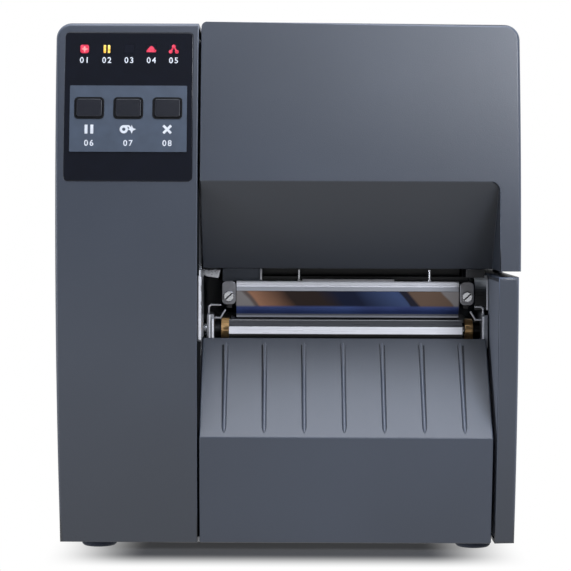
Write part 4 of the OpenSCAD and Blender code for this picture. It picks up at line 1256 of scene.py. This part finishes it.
    def signs(self) -> None:
        """White signs and plain numbers under the keys."""
        ink = self.paint.ink
        proud, top = self.plate_proud, self.plate_proud + self.ink_t
        left, middle, right = spots = self.row(self.key_pitch, 3)
        bars = [Drawing.box(1.55, 4.7, 0.2, x=side * 1.5) for side in (-1, 1)]
        self.print_on("sign_pause", bars, left, self.sign_z, proud, ink)
        outer, inner = (Drawing.disc(radius, steps=28) for radius in (2.15, 0.85))
        self.hoop("sign_roll", ((outer, proud), (outer, top), (inner, top), (inner, proud)), middle - 2.2,
                  self.sign_z, ink)
        for name, outline, spot, lift in (
                ("sign_feed_0", Drawing.bar((-2.0, 1.7), (0.2, 1.7), 0.9), middle, 0.01),
                ("sign_feed_1", Drawing.bar((0.1, 1.9), (1.5, 0.4), 0.9), middle, 0.02),
                ("sign_feed_star", Drawing.star(2.3, 0.95), middle + 1.9, 0.0),
                ("sign_cancel_0", Drawing.bar((-2.0, -2.0), (2.0, 2.0), 1.3), right, 0.0),
                ("sign_cancel_1", Drawing.bar((-2.0, 2.0), (2.0, -2.0), 1.3), right, 0.01)):
            self.print_on(name, [outline], spot, self.sign_z, proud + lift, ink)
        for number, spot in enumerate(spots):
            self.number(f"0{number + 6}", spot, self.key_text_z, proud)

    def number(self, text: str, x: float, z: float, proud: float) -> None:
        """Print a plain number on the bowed front.

        Args:
            text: The digits.
            x: Sideways middle, millimetres.
            z: Height of the middle, millimetres.
            proud: Distance of the print's back in front of the cover, millimetres.
        """
        curve = bpy.data.curves.new("digits", "FONT")
        curve.body = text
        curve.size = self.text_size
        curve.align_x, curve.align_y = "CENTER", "CENTER"
        curve.space_character = self.text_space
        curve.offset = self.text_weight
        curve.extrude = self.ink_t / 2
        mesh = settle(show("digits", curve))
        for vertex in mesh.vertices:
            px, pz, out = vertex.co
            vertex.co = self.on_bow([(px, pz)], x, z, proud + out + self.ink_t / 2)[0]
        self.bench.piece("number_" + text, mesh, "chassis", self.paint.ink)


@dataclass
class Housing(Assembly):
    """Covers, doors, bezel, base and feet."""

    front: Front
    corner: float = 1.8
    rim: float = 0.5
    seat: float = 0.12
    cover_side: float = -0.1182
    cover_seam: float = -0.0475
    cover_z: Pair = (0.01, 0.2715)
    door_side: float = 0.1125
    door_top: float = 0.2685
    door_hinge: Pair = (-0.038, 0.270)
    hood_y: float = -0.17
    fold: Pair = (0.1192, 0.14585)
    fold_reach: float = 0.004
    seal_x: Pair = (-47.9, -45.8)
    seal_y: Pair = (5.2, 6.3)
    flare: Pair = (64.0, 110.0)
    flare_x: float = 1.1
    slope_y: float = -171.0
    slope_z: Pair = (60.2, 109.8)
    rib_count: int = 7
    rib_x: float = 30.15
    rib_pitch: float = 20.96
    rib_low: float = 3.0
    rib_len: float = 55.3
    ribbed_x: Pair = (-0.043, 0.104)
    ribbed_z: Pair = (0.0615, 0.108)
    bezel_round: float = 0.7
    rear_x: float = 0.118
    rear_y: float = 0.21
    rear_z: Pair = (0.008, 0.273)
    rear_round: Pair = (0.8, 0.2)
    bow_near: float = 0.00015

    def build(self) -> None:
        """Round and dress the outside."""
        paint = self.paint
        for node, material, chooser in (("left_cover", paint.housing, self.cover_edges),
                                        ("upper_door", paint.housing, self.door_edges),
                                        ("lower_door", paint.housing, self.door_edges),
                                        ("front_bezel", paint.bezel, self.bezel_edges)):
            made = self.bench.skin(node, material, Rounding(Edge.WIDE, steps=3, chooser=chooser))
            self.front.even(made.data)
        self.ridges()
        self.seal("seam_seal_low", 4.6, 110.2, self.flare_x)
        self.seal("seam_seal_high", 144.4, 266.0, 0.0)
        self.bench.skin("rear_panel", paint.housing, Rounding(Edge.SOFT, chooser=self.rear_edges))
        self.bench.skins({
            "lower_door_liner": (paint.liner, Edge.SOFT), "door_window": (paint.window, Edge.CRISP),
            "door_latch": (paint.black, Edge.EASED), "rubber_feet": (paint.rubber, Edge.EASED)})
        self.bench.dress({"base_pan": paint.sheet_steel, "door_hinge_pins": paint.steel,
                          "fold_hinge_pins": paint.steel})

    def slope(self, x: float, along: float, out: float) -> Vector:
        """A place on the sloped bezel.

        Args:
            x: Sideways place, millimetres.
            along: Distance up the slope from its crease, millimetres.
            out: Height above the slope, millimetres.

        Returns:
            The place in the shared frame, metres.
        """
        low, high = self.slope_z
        crease = Vector((0.0, self.front.depth(low * MM) / MM, low))
        way = (Vector((0.0, self.slope_y, high)) - crease).normalized()
        return (crease + Vector((x, 0.0, 0.0)) + way * along + Vector((0.0, -way.z, way.y)) * out) * MM

    def ridges(self) -> None:
        """Round ridges over the ribs of the slope in a lighter tone as a painted highlight, each with a dark
        strip of painted shadow on both sides, the outer one wider.
        """
        ridges, grooves = bmesh.new(), bmesh.new()
        stations = ((0.0, 0.08, 0.05), (1.5, 0.6, 0.3), (3.4, 1.02, 0.55), (self.rib_len, 1.06, 1.9))
        half = ((1.0, -0.3), (1.0, 0.0), (0.8, 0.62), (0.4, 0.93))
        section = [(-px, pz) for px, pz in half] + [(0.0, 1.0), *half[::-1]]
        for number in range(self.rib_count):
            turn = number - (self.rib_count - 1) / 2
            x = self.rib_x + turn * self.rib_pitch
            lay_loft(ridges, [[self.slope(x + wide * px, self.rib_low + along, tall * pz if pz > 0 else pz)
                               for px, pz in section] for along, wide, tall in stations])
            # Dark strips of painted shadow beside each ridge; the one on the side away from the middle is
            # wider.
            outer = -1.0 if turn < 0 else 1.0
            for side, widths in ((outer, (0.1, 0.2, 0.3, 0.25 + 0.33 * abs(turn))),
                                 (-outer, (0.1, 0.2, 0.22, 0.1))):
                rings = []
                for (along, wide, _), groove in zip(stations, widths):
                    near, far = x + side * (wide - 0.05), x + side * (wide + groove)
                    rings.append([self.slope(spot, self.rib_low + along - 0.2, out)
                                  for spot, out in ((near, -0.1), (far, -0.1), (far, 0.04), (near, 0.04))])
                lay_loft(grooves, rings)
        self.bench.piece("bezel_ridges", ridges, "chassis", self.paint.ridge_painted_highlight)
        self.bench.piece("bezel_grooves", grooves, "chassis", self.paint.groove)

    def seal(self, name: str, low: float, high: float, flare_x: float) -> None:
        """Black seal in the seam between the cover and the parts beside it.

        Args:
            name: Name of the piece.
            low: Its lower end, millimetres.
            high: Its upper end, millimetres.
            flare_x: How much wider it gets beside the slope, millimetres.
        """
        rings = []
        left, right = self.seal_x
        for step in range(13):
            z = (low + (high - low) * step / 12) * MM
            near, far = (self.front.depth(z, -inset * MM) for inset in self.seal_y)
            flare = max(0.0, min(1.0, (z / MM - self.flare[0]) / (self.flare[1] - self.flare[0])))
            wide = right + flare_x * flare
            corners = ((left, near), (wide, near), (wide, far), (left, far))
            rings.append([Vector((x * MM, y, z)) for x, y in corners])
        self.bench.piece(name, loft(rings), "chassis", self.paint.seal)

    def on_front(self, mid: Vector) -> bool:
        """Whether a point lies on the bowed front."""
        return abs(self.front.depth(mid.z) - mid.y) < self.bow_near

    def cover_edges(self, mid: Vector, way: Vector) -> float:
        """Wide rounding along the front's outline, little inside the panel's seat.

        Args:
            mid: Middle of an edge, metres.
            way: Direction of the edge.

        Returns:
            The rounding, millimetres.
        """
        if not self.on_front(mid):
            return 0.0
        low, high = self.cover_z
        if mid.x < self.cover_side or mid.z > high:
            return self.corner if mid.x < self.cover_seam else self.rim
        return self.rim if mid.x > self.cover_seam or mid.z < low else self.seat

    def door_edges(self, mid: Vector, way: Vector) -> float:
        """Wide rounding along the front's outline, little along the hood and the openings.

        Args:
            mid: Middle of an edge, metres.
            way: Direction of the edge.

        Returns:
            The rounding, millimetres.
        """
        if all(abs(place - fold) < self.fold_reach for place, fold in zip((mid.x, mid.z), self.fold)):
            return 0.0
        if mid.x < self.door_hinge[0] and mid.z > self.door_hinge[1]:
            return 0.0
        if self.on_front(mid) and (mid.x > self.door_side or mid.z > self.door_top):
            return self.corner
        return self.rim if mid.y < self.hood_y else 0.0

    def bezel_edges(self, mid: Vector, way: Vector) -> float:
        """Keep the ribs crisp."""
        spans = ((self.ribbed_x, mid.x), (self.ribbed_z, mid.z))
        return 0.0 if all(low < place < high for (low, high), place in spans) else self.bezel_round

    def rear_edges(self, mid: Vector, way: Vector) -> float:
        """Round the rim of the rear panel more than its openings.

        Args:
            mid: Middle of an edge, metres.
            way: Direction of the edge.

        Returns:
            The rounding, millimetres.
        """
        low, high = self.rear_z
        at_rim = abs(mid.x) > self.rear_x or not low <= mid.z <= high
        rim, opening = self.rear_round
        return rim if at_rim and mid.y > self.rear_y else opening


@dataclass
class PrintMechanism(Assembly):
    """Platen, tear bar, head and its latch."""

    screw_r: float = 2.9
    rim_share: float = 0.45
    slot_w: float = 0.8
    slot_turn: float = 0.75
    bar_top: float = 139.9
    bar_back: float = -158.0
    hood_z: float = 147.3
    post_x: Pair = (6.5, 77.8)
    sheet_x: Pair = (-35.2, -13.5)
    lip_w: float = 1.5
    frame_y: Pair = (-202.5, -201.9)
    bracket_y: Pair = (-168.4, -167.9)
    flange_y: Pair = (-170.5, -169.9)
    guard_x: Pair = (108.1, 109.0)

    def build(self) -> None:
        """Round and dress the mechanism."""
        paint = self.paint
        self.bench.skins({
            "platen_bracket_left": (paint.zinc, Edge.EASED),
            "mechanism_side_plate": (paint.guard, Edge.BROKEN),
            "platen_bushings": (paint.bronze, Edge.SOFT), "tear_bar": (paint.tear, Edge.GROUND),
            "guide_wires": (paint.zinc, Edge.BROKEN), "platen_shaft": (paint.steel, Edge.EASED),
            "platen_rubber": (paint.platen, Edge.SOFT), "head_pivot_shaft": (paint.steel, Edge.EASED),
            "head_carrier": (paint.black, Edge.EASED), "heat_sink": (paint.black, Edge.CRISP),
            "print_line_strip": (paint.ceramic, Edge.CRISP), "strip_plate": (paint.mirror, Edge.HAIR),
            "front_bar": (paint.bar, Edge.GROUND), "head_end_brackets": (paint.cast, Edge.ROUND),
            "latch_shaft": (paint.steel, Edge.EASED), "pressure_cams": (paint.black, Edge.SOFT),
            "head_lever": (paint.touch, Edge.BLUNT)})
        self.screws()
        self.trim()
        self.painted_edge_highlights()

    def trim(self) -> None:
        """Posts and sheets that show in the dark between hood and head bar."""
        paint = self.paint
        low, high = self.bar_top - 0.1, self.hood_z - 0.6
        mesh = bmesh.new()
        for x in self.post_x:
            place = shift(x, self.bar_back - 1.6, low)
            lay_turned(mesh, [(1.0, 0.0), (1.0, 0.9), (0.68, 1.1), (0.68, 6.3), (0.45, 6.6)], place, 20)
        self.bench.piece("head_posts", mesh, "printhead", paint.bright)
        left, right = self.sheet_x
        for name, start, span, material, width in (
                ("head_sheet", left, (self.bar_back - 1.0, self.bar_back), paint.liner, Edge.EASED),
                ("head_sheet_lip", right - self.lip_w, (self.bar_back - 2.4, self.bar_back - 0.9), paint.zinc,
                 Edge.ROUND)):
            outline = [(start, low), (right, low), (right, high), (start, high)]
            self.bench.plate(name, outline, span, "printhead", material, width)
        block = [(-46.0, 143.4), (-43.0, 142.4), (-36.9, 141.6), (-35.9, high), (-46.0, high)]
        self.bench.plate("frame_stop", block, (-172.0, -160.0), "chassis", paint.zinc, Edge.BLUNT)

    def painted_edge_highlights(self) -> None:
        """Ground edges of the sheets at both ends of the mouth, painted near-white as a highlight."""
        paint = self.paint
        strip = [(-46.4, 110.6), (-44.95, 110.6), (-44.95, 128.4), (-45.3, 128.9), (-45.3, 130.2),
                 (-44.95, 130.8), (-44.95, 135.6), (-45.3, 136.2), (-45.3, 138.6), (-44.95, 139.4),
                 (-44.95, 143.2), (-45.45, 143.6), (-45.45, 147.0), (-46.4, 147.0)]
        inner = [(-42.3, 104.6), (-41.4, 104.6), (-41.4, 121.7), (-42.3, 121.7)]
        left = [(-41.3, 104.3), (-39.0, 104.3), (-39.6, 107.2), (-39.6, 119.6), (-40.6, 119.6),
                (-40.6, 107.2)]
        right = [(104.7, 104.2), (106.6, 104.2), (106.5, 107.0), (106.7, 121.4), (105.7, 121.4),
                 (105.5, 107.0)]
        for name, outline, span in (
                ("frame_edge", strip, self.frame_y), ("bracket_edge", inner, self.bracket_y),
                ("flange_edge_left", left, self.flange_y), ("flange_edge_right", right, self.flange_y)):
            self.bench.plate(name, outline, span, "chassis", paint.edge, Edge.KEEN)
        bend = [(-166.5, 124.7), (-166.5, 136.0), (-165.0, 141.0), (-161.4, 143.4), (-160.9, 143.0),
                (-164.4, 140.6), (-165.9, 136.0), (-165.9, 124.7)]
        mesh = loft([points([(x, y, z) for y, z in bend]) for x in self.guard_x])
        self.bench.piece("guard_edge", mesh, "chassis", paint.edge)

    def screws(self) -> None:
        """Slotted heads for the two screws that hold the head, with a black strip of painted shade at the
        floor of each slot.
        """
        heads, slots = bmesh.new(), bmesh.new()
        low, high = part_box("head_screws")
        radius, deep, half = self.screw_r, (high.y - low.y) / MM, self.slot_w / 2
        rim = deep * self.rim_share
        for x in (low.x + radius * MM, high.x - radius * MM):
            turn = spun(90.0, "X") @ Matrix.Rotation(self.slot_turn, 4, "Z")
            place = Matrix.Translation((x, high.y, (low.z + high.z) / 2)) @ turn
            lay_turned(heads, [(radius * 0.55, 0.0), (radius, 0.0), (radius, rim)], place)
            for side in (-1, 1):
                lay_loft(heads, [points(ring, place) for ring in self.half_head(side, rim, deep)])
            # Black strip at the floor of the slot: painted shade.
            lay_loft(slots, [points([(px * radius * 0.93, py * half, deep * height)
                                     for px, py in ((-1, -1), (1, -1), (1, 1), (-1, 1))], place)
                             for height in (0.46, 0.52)])
        self.bench.piece("head_screw_slots", slots, "printhead", self.paint.black)
        self.bench.piece("head_screws_slotted", heads, "printhead", self.paint.bright, ["head_screws"])

    def half_head(self, side: int, rim: float, deep: float) -> list[list[Triple]]:
        """The lower and upper outline of one half of a slotted head, beside the slot.

        Args:
            side: Which half, -1 or 1.
            rim: Height of the lower outline, millimetres.
            deep: Height of the upper outline, millimetres.

        Returns:
            The two outlines in the screw's own axes, millimetres.
        """
        radius, half, taper = self.screw_r, self.slot_w / 2, 0.86
        start = math.asin(half / radius)
        turns = [start + (math.pi - 2 * start) * step / 14 for step in range(15)]
        loop = [(radius * math.cos(turn), radius * math.sin(turn)) for turn in turns]
        return [[(px, side * py, rim) for px, py in loop],
                [(px * taper, side * max(half, py * taper), deep) for px, py in loop]]


@dataclass
class MediaBay(Assembly):
    """Frame plate, media path, roll hanger and ribbon spindles."""

    pattern: Pattern
    frame_x: float = -46.0
    spindles: tuple[Pair, ...] = ((-92.0, 222.0), (5.0, 228.0))
    ring_r: float = 26.5
    pan_z: float = 6.1
    platform_z: float = 116.0
    door_z: float = 275.4
    spoke_count: int = 8
    spoke_r: float = 24.0

    def build(self) -> None:
        """Round and dress the bay."""
        paint = self.paint
        self.bench.skins({
            "main_frame": (paint.sheet_steel, Edge.CRISP), "media_platform": (paint.sheet_steel, Edge.BROKEN),
            "media_sensor": (paint.black, Edge.SOFT), "edge_guide": (paint.touch, Edge.ROUND),
            "dancer_arm": (paint.black, Edge.SOFT), "dancer_roller": (paint.aluminium, Edge.ROUND),
            "hanger_arm": (paint.black, Edge.FULL), "roll_guide": (paint.touch, Edge.ROUND),
            "take_up_spindle": (paint.aluminium, Edge.EASED), "supply_spindle": (paint.aluminium, Edge.EASED),
            "supply_clutch": (paint.black, Edge.SOFT)})
        self.fixings()
        self.pressings()
        self.ribs()
        self.spokes()

    def fixings(self) -> None:
        """Screws round the spindle bearings."""
        head = crossed_head(2.3, 1.4)
        head.transform(spun(-90.0, "Z"))
        turns = [math.radians(angle) for angle in (90, 210, 330)]
        spots = [(self.frame_x, y + self.ring_r * math.cos(turn), z + self.ring_r * math.sin(turn))
                 for y, z in self.spindles for turn in turns]
        self.pattern.lay("bearing_screws", head, "chassis", self.paint.steel, spots)

    def pressings(self) -> None:
        """Stiffening beads in the frame plate, the base pan and the platform."""
        steel = self.paint.sheet_steel
        upright = bead(9.0, 128.0, 1.1, spun(90.0, "Y"))
        for name, rings, start, step, count in (
                ("frame_beads", upright, (self.frame_x, 122.0, 197.0), (0.0, 0.0, 19.0), 3),
                ("pan_beads", bead(10.0, 190.0, 1.0), (-8.0, 78.0, self.pan_z), (28.0, 0.0, 0.0), 4),
                ("platform_ribs", bead(2.4, 62.0, 0.7), (-24.0, -99.0, self.platform_z), (9.6, 0.0, 0.0),
                 12)):
            self.pattern.lay(name, loft(rings), "chassis", steel, [start], step, count)

    def spokes(self) -> None:
        """Raised spokes on the roll guide."""
        low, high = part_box("roll_guide")
        hub = Matrix.Translation((high.x, (low.y + high.y) / 2, (low.z + high.z) / 2))
        reach = shift(0.0, self.spoke_r, 0.0) @ spun(90.0, "Y")
        mesh = bmesh.new()
        for number in range(self.spoke_count):
            turn = spun(360.0 * (number + 0.5) / self.spoke_count, "X")
            lay_loft(mesh, bead(2.6, 14.0, 1.0, hub @ turn @ reach))
        self.bench.piece("roll_guide_spokes", mesh, "roll_guide", self.paint.touch)

    def ribs(self) -> None:
        """Moulded ribs under the roof of the door."""
        loop = [(-24.0, 0.0), (109.0, 0.0), (105.0, -5.6), (103.6, -6.0), (-18.6, -6.0), (-20.0, -5.6)]
        item = loft([points([(x, y, z) for x, z in loop]) for y in (-1.0, 1.0)])
        self.pattern.lay("door_ribs", item, "upper_door", self.paint.housing,
                         [(0.0, -165.0, self.door_z)], (0.0, 48.0, 0.0), 8)


@dataclass
class Drive(Assembly):
    """Belt drive and electronics behind the left cover."""

    def build(self) -> None:
        """Dress the pieces, which stay inside."""
        paint = self.paint
        self.bench.dress({
            "take_up_pulley": paint.pulley, "platen_pulley": paint.pulley, "motor_pulley": paint.pulley,
            "drive_belt": paint.rubber, "drive_bracket": paint.sheet_steel, "stepper_motor": paint.black,
            "motor_shaft": paint.steel, "logic_board": paint.board, "power_supply": paint.sheet_steel})


@dataclass
class Rear(Assembly):
    """Sockets, rocker and screws of the rear panel."""

    pattern: Pattern
    back: float = 216.0
    screw_x: tuple[float, ...] = (-112.0, -30.0, 100.0)
    screw_z: tuple[float, ...] = (20.0, 255.0)
    screw_r: float = 3.2
    inlet: Pair = (-85.0, 36.0)
    port_x: float = -88.0
    ports: tuple[Triple, ...] = ((112.0, 20.0, 11.0), (140.0, 13.0, 12.0),
                                                     (166.0, 16.0, 14.0))
    port_floor: float = 13.0
    rocker: Triple = (-85.0, 209.0, 66.0)
    rocker_tilt: float = 8.0
    rocker_face: Pair = (1.2, 9.5)

    def build(self) -> None:
        """Round and dress the rear pieces."""
        paint = self.paint
        self.bench.skins({"rear_sockets": (paint.black, Edge.CRISP),
                          "power_rocker": (paint.black, Edge.ROUND)})
        spots = [(x, self.back - 2.0, z) for x in self.screw_x for z in self.screw_z]
        head = crossed_head(self.screw_r, 1.75)
        self.pattern.lay("rear_screws_crossed", head, "chassis", paint.steel, spots,
                         stands_for=["rear_screws"])
        self.blades()
        self.shells()
        self.marks()

    def blades(self) -> None:
        """Contacts in the mains inlet and the ports."""
        paint = self.paint
        x, z = self.inlet
        floor = self.back - 20.1
        self.pattern.lay("inlet_blades", blade(2.0, 4.2, 14.5), "chassis", paint.steel,
                         [(x - 7.0, floor, z - 5.2), (x, floor, z + 4.6), (x + 7.0, floor, z - 5.2)])
        sizes = ((0.5, 0.5, 0.8), (1.0, 0.36, 8.4), (0.5, 0.36, 8.4))
        spots = (((-0.19, 0.55), (-0.13, -0.55)), ((-0.11, -1.15), (-0.11, 1.15)), ((-0.2, 1.15),))
        rows = (("serial_contacts", 4.1, 1.85, 4), ("bus_contacts", self.port_floor, 2.9, 2),
                ("network_contacts", self.port_floor, 0.92, 8))
        for (z, wide, _), size, places, (name, deep, step, count) in zip(self.ports, sizes, spots, rows):
            starts = [(self.port_x + share * wide, self.back - deep, z + rise) for share, rise in places]
            self.pattern.lay(name, blade(*size), "chassis", paint.brass, starts, (step, 0.0, 0.0), count)

    def shells(self) -> None:
        """Folded steel rims of the three ports."""
        mesh = bmesh.new()
        for z, wide, tall in self.ports:
            rings = []
            for inset, deep in ((0.1, 3.0), (0.1, 0.25), (0.45, 0.05), (0.95, 0.25), (0.95, 3.0)):
                outline = Drawing.box(wide - 2 * inset, tall - 2 * inset, 1.1 - inset * 0.8)
                rings.append(points([(self.port_x + px, self.back - deep, z + pz) for px, pz in outline]))
            lay_loft(mesh, rings, closed=True)
        self.bench.piece("port_shells", mesh, "chassis", self.paint.zinc)

    def marks(self) -> None:
        """Plain bar and ring on the two halves of the rocker."""
        bar = Drawing.box(0.9, 4.4, 0.3)
        outer, inner = (Drawing.disc(radius, steps=28) for radius in (2.1, 1.4))
        low, high = -0.1, 0.1
        seat = shift(*self.rocker) @ spun(-self.rocker_tilt, "X")
        for name, side, layers in (
                ("rocker_bar", 1, ((bar, low), (bar, high))),
                ("rocker_ring", -1, ((outer, low), (inner, low), (inner, high), (outer, high)))):
            lean = Matrix.Rotation(-side * math.atan2(*self.rocker_face), 4, "X")
            place = seat @ shift(0.0, 4.6, side * 4.9) @ lean
            rings = [points([(px, out, pz) for px, pz in outline], place) for outline, out in layers]
            self.bench.piece(name, loft(rings, closed=side < 0), "power_rocker", self.paint.ink)


@dataclass
class Studio:
    """Pale floor, soft light and the camera."""

    eye: Triple = (-0.001, -1.216, 0.180)
    tilt: float = 0.4
    roll: float = 0.22
    rise: float = -0.113
    lens: float = 122.06
    sensor: float = 36.0
    room: Colour = (0.09, 0.094, 0.10)
    backdrop: Colour = (0.50, 0.50, 0.51)
    front_gloss: Colour = (0.06, 0.063, 0.067)
    horizon: Pair = (-0.55, 0.35)
    # Reach of the painted shadow on the floor, metres: full inside the first value, gone beyond the second.
    painted_shadow_x: Pair = (0.072, 0.126)
    painted_shadow_y: Pair = (0.212, 0.252)
    # Dark tone of the floor where the painted shadow lies.
    floor_tone: Pair = (0.045, 0.06)
    floor_mirror: float = 0.9
    floor_size: float = 4.0
    tint: Colour = (0.94, 0.98, 1.07)
    aim: Triple = (0.0, -0.1, 0.14)

    def build(self) -> None:
        """Set up the stage."""
        self.floor()
        self.sky()
        self.lamp("key", (0.6, -1.35, 0.82), 0.42, 15.0)
        self.lamp("fill", (-1.5, -0.95, 0.14), 0.4, 7.0)
        self.lamp("top", (0.1, -0.70, 1.7), 1.2, 22.0)
        self.camera()

    def floor(self) -> None:
        """A floor that is white beyond the printer and shows a painted shadow under and in front of it, where
        its dark tone also takes the real shadow.
        """
        mesh = bmesh.new()
        bmesh.ops.create_grid(mesh, x_segments=1, y_segments=1, size=self.floor_size)
        data = bpy.data.meshes.new("floor")
        mesh.to_mesh(data)
        mesh.free()
        graph = Surface("floor")
        x, y = (graph.maths("ABSOLUTE", graph.axis(letter)) for letter in "XY")
        # Painted shadow: level 1 under and in front of the printer, fading outwards.
        shade = x.ramp(*self.painted_shadow_x, 1.0, 0.0, soft=True) * y.ramp(*self.painted_shadow_y, 1.0, 0.0, soft=True)
        mirrored = graph.ray("Glossy") + graph.ray("Transmission")
        tone = graph.noise(3.0).ramp(*NOISE, *self.floor_tone)
        graph.put(Base_Color=graph.mix(tone, BLACK, WHITE), Roughness=0.6)
        white = graph.node("ShaderNodeEmission", {}, {"Color": WHITE, "Strength": 1.0})
        fade = graph.ray("Camera") * (1.0 - shade) + mirrored * self.floor_mirror
        base = Signal(graph, graph.shader.outputs[0])
        both = graph.node("ShaderNodeMixShader", {}, {0: fade, 1: base, 2: white})
        graph.feed(graph.output.inputs["Surface"], both)
        data.materials.append(graph.material)
        made = show("floor", data)

    def sky(self) -> None:
        """White behind the object, soft grey light on it."""
        world = bpy.data.worlds.new("studio")
        bpy.context.scene.world = world
        world.use_nodes = True
        graph = Graph(world.node_tree)
        behind = graph.axis("Y", "Generated").ramp(*self.horizon, 0.0, 1.0)
        room = graph.mix(behind, self.room, self.backdrop)
        lit = graph.mix(graph.ray("Glossy"), room, graph.mix(behind, self.front_gloss, WHITE))
        for kind in ("Transmission", "Camera"):
            lit = graph.mix(graph.ray(kind), lit, WHITE)
        back = graph.node("ShaderNodeBackground", {}, {"Color": lit})
        graph.feed(graph.tree.nodes.new("ShaderNodeOutputWorld").inputs["Surface"], back)

    def lamp(self, name: str, place: Triple, size: float, power: float) -> None:
        """Hang one soft lamp that faces the printer.

        Args:
            name: Name of the lamp.
            place: Where it hangs, metres.
            size: Side of its square, metres.
            power: Its power, watts.
        """
        data = bpy.data.lights.new(name, "AREA")
        data.size = size
        data.energy = power
        data.color = self.tint
        made = show(name, data)
        made.location = place
        made.rotation_euler = (Vector(self.aim) - Vector(place)).to_track_quat("-Z", "Y").to_euler()

    def camera(self) -> None:
        """Place the camera square to the front."""
        data = bpy.data.cameras.new("camera")
        data.lens = self.lens
        data.sensor_width = self.sensor
        data.shift_y = self.rise
        made = show("camera", data)
        made.location = self.eye
        made.rotation_euler = (spun(90.0 - self.tilt, "X") @ spun(self.roll, "Z")).to_euler()
        bpy.context.scene.camera = made


def main() -> None:
    """Build the printer and its stage."""
    logging.basicConfig(level=logging.INFO, format="%(name)s: %(message)s")
    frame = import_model()
    bpy.context.scene.view_settings.view_transform = "Standard"
    bench = Bench(frame, Palette())
    pattern = Pattern(bench)
    for assembly in (Housing(bench, Front()), ControlPanel(bench, Front()), PrintMechanism(bench),
                     MediaBay(bench, pattern), Drive(bench), Rear(bench, pattern), Studio()):
        LOG.info("building %s", type(assembly).__name__)
        assembly.build()


if __name__ == "__main__":
    main()
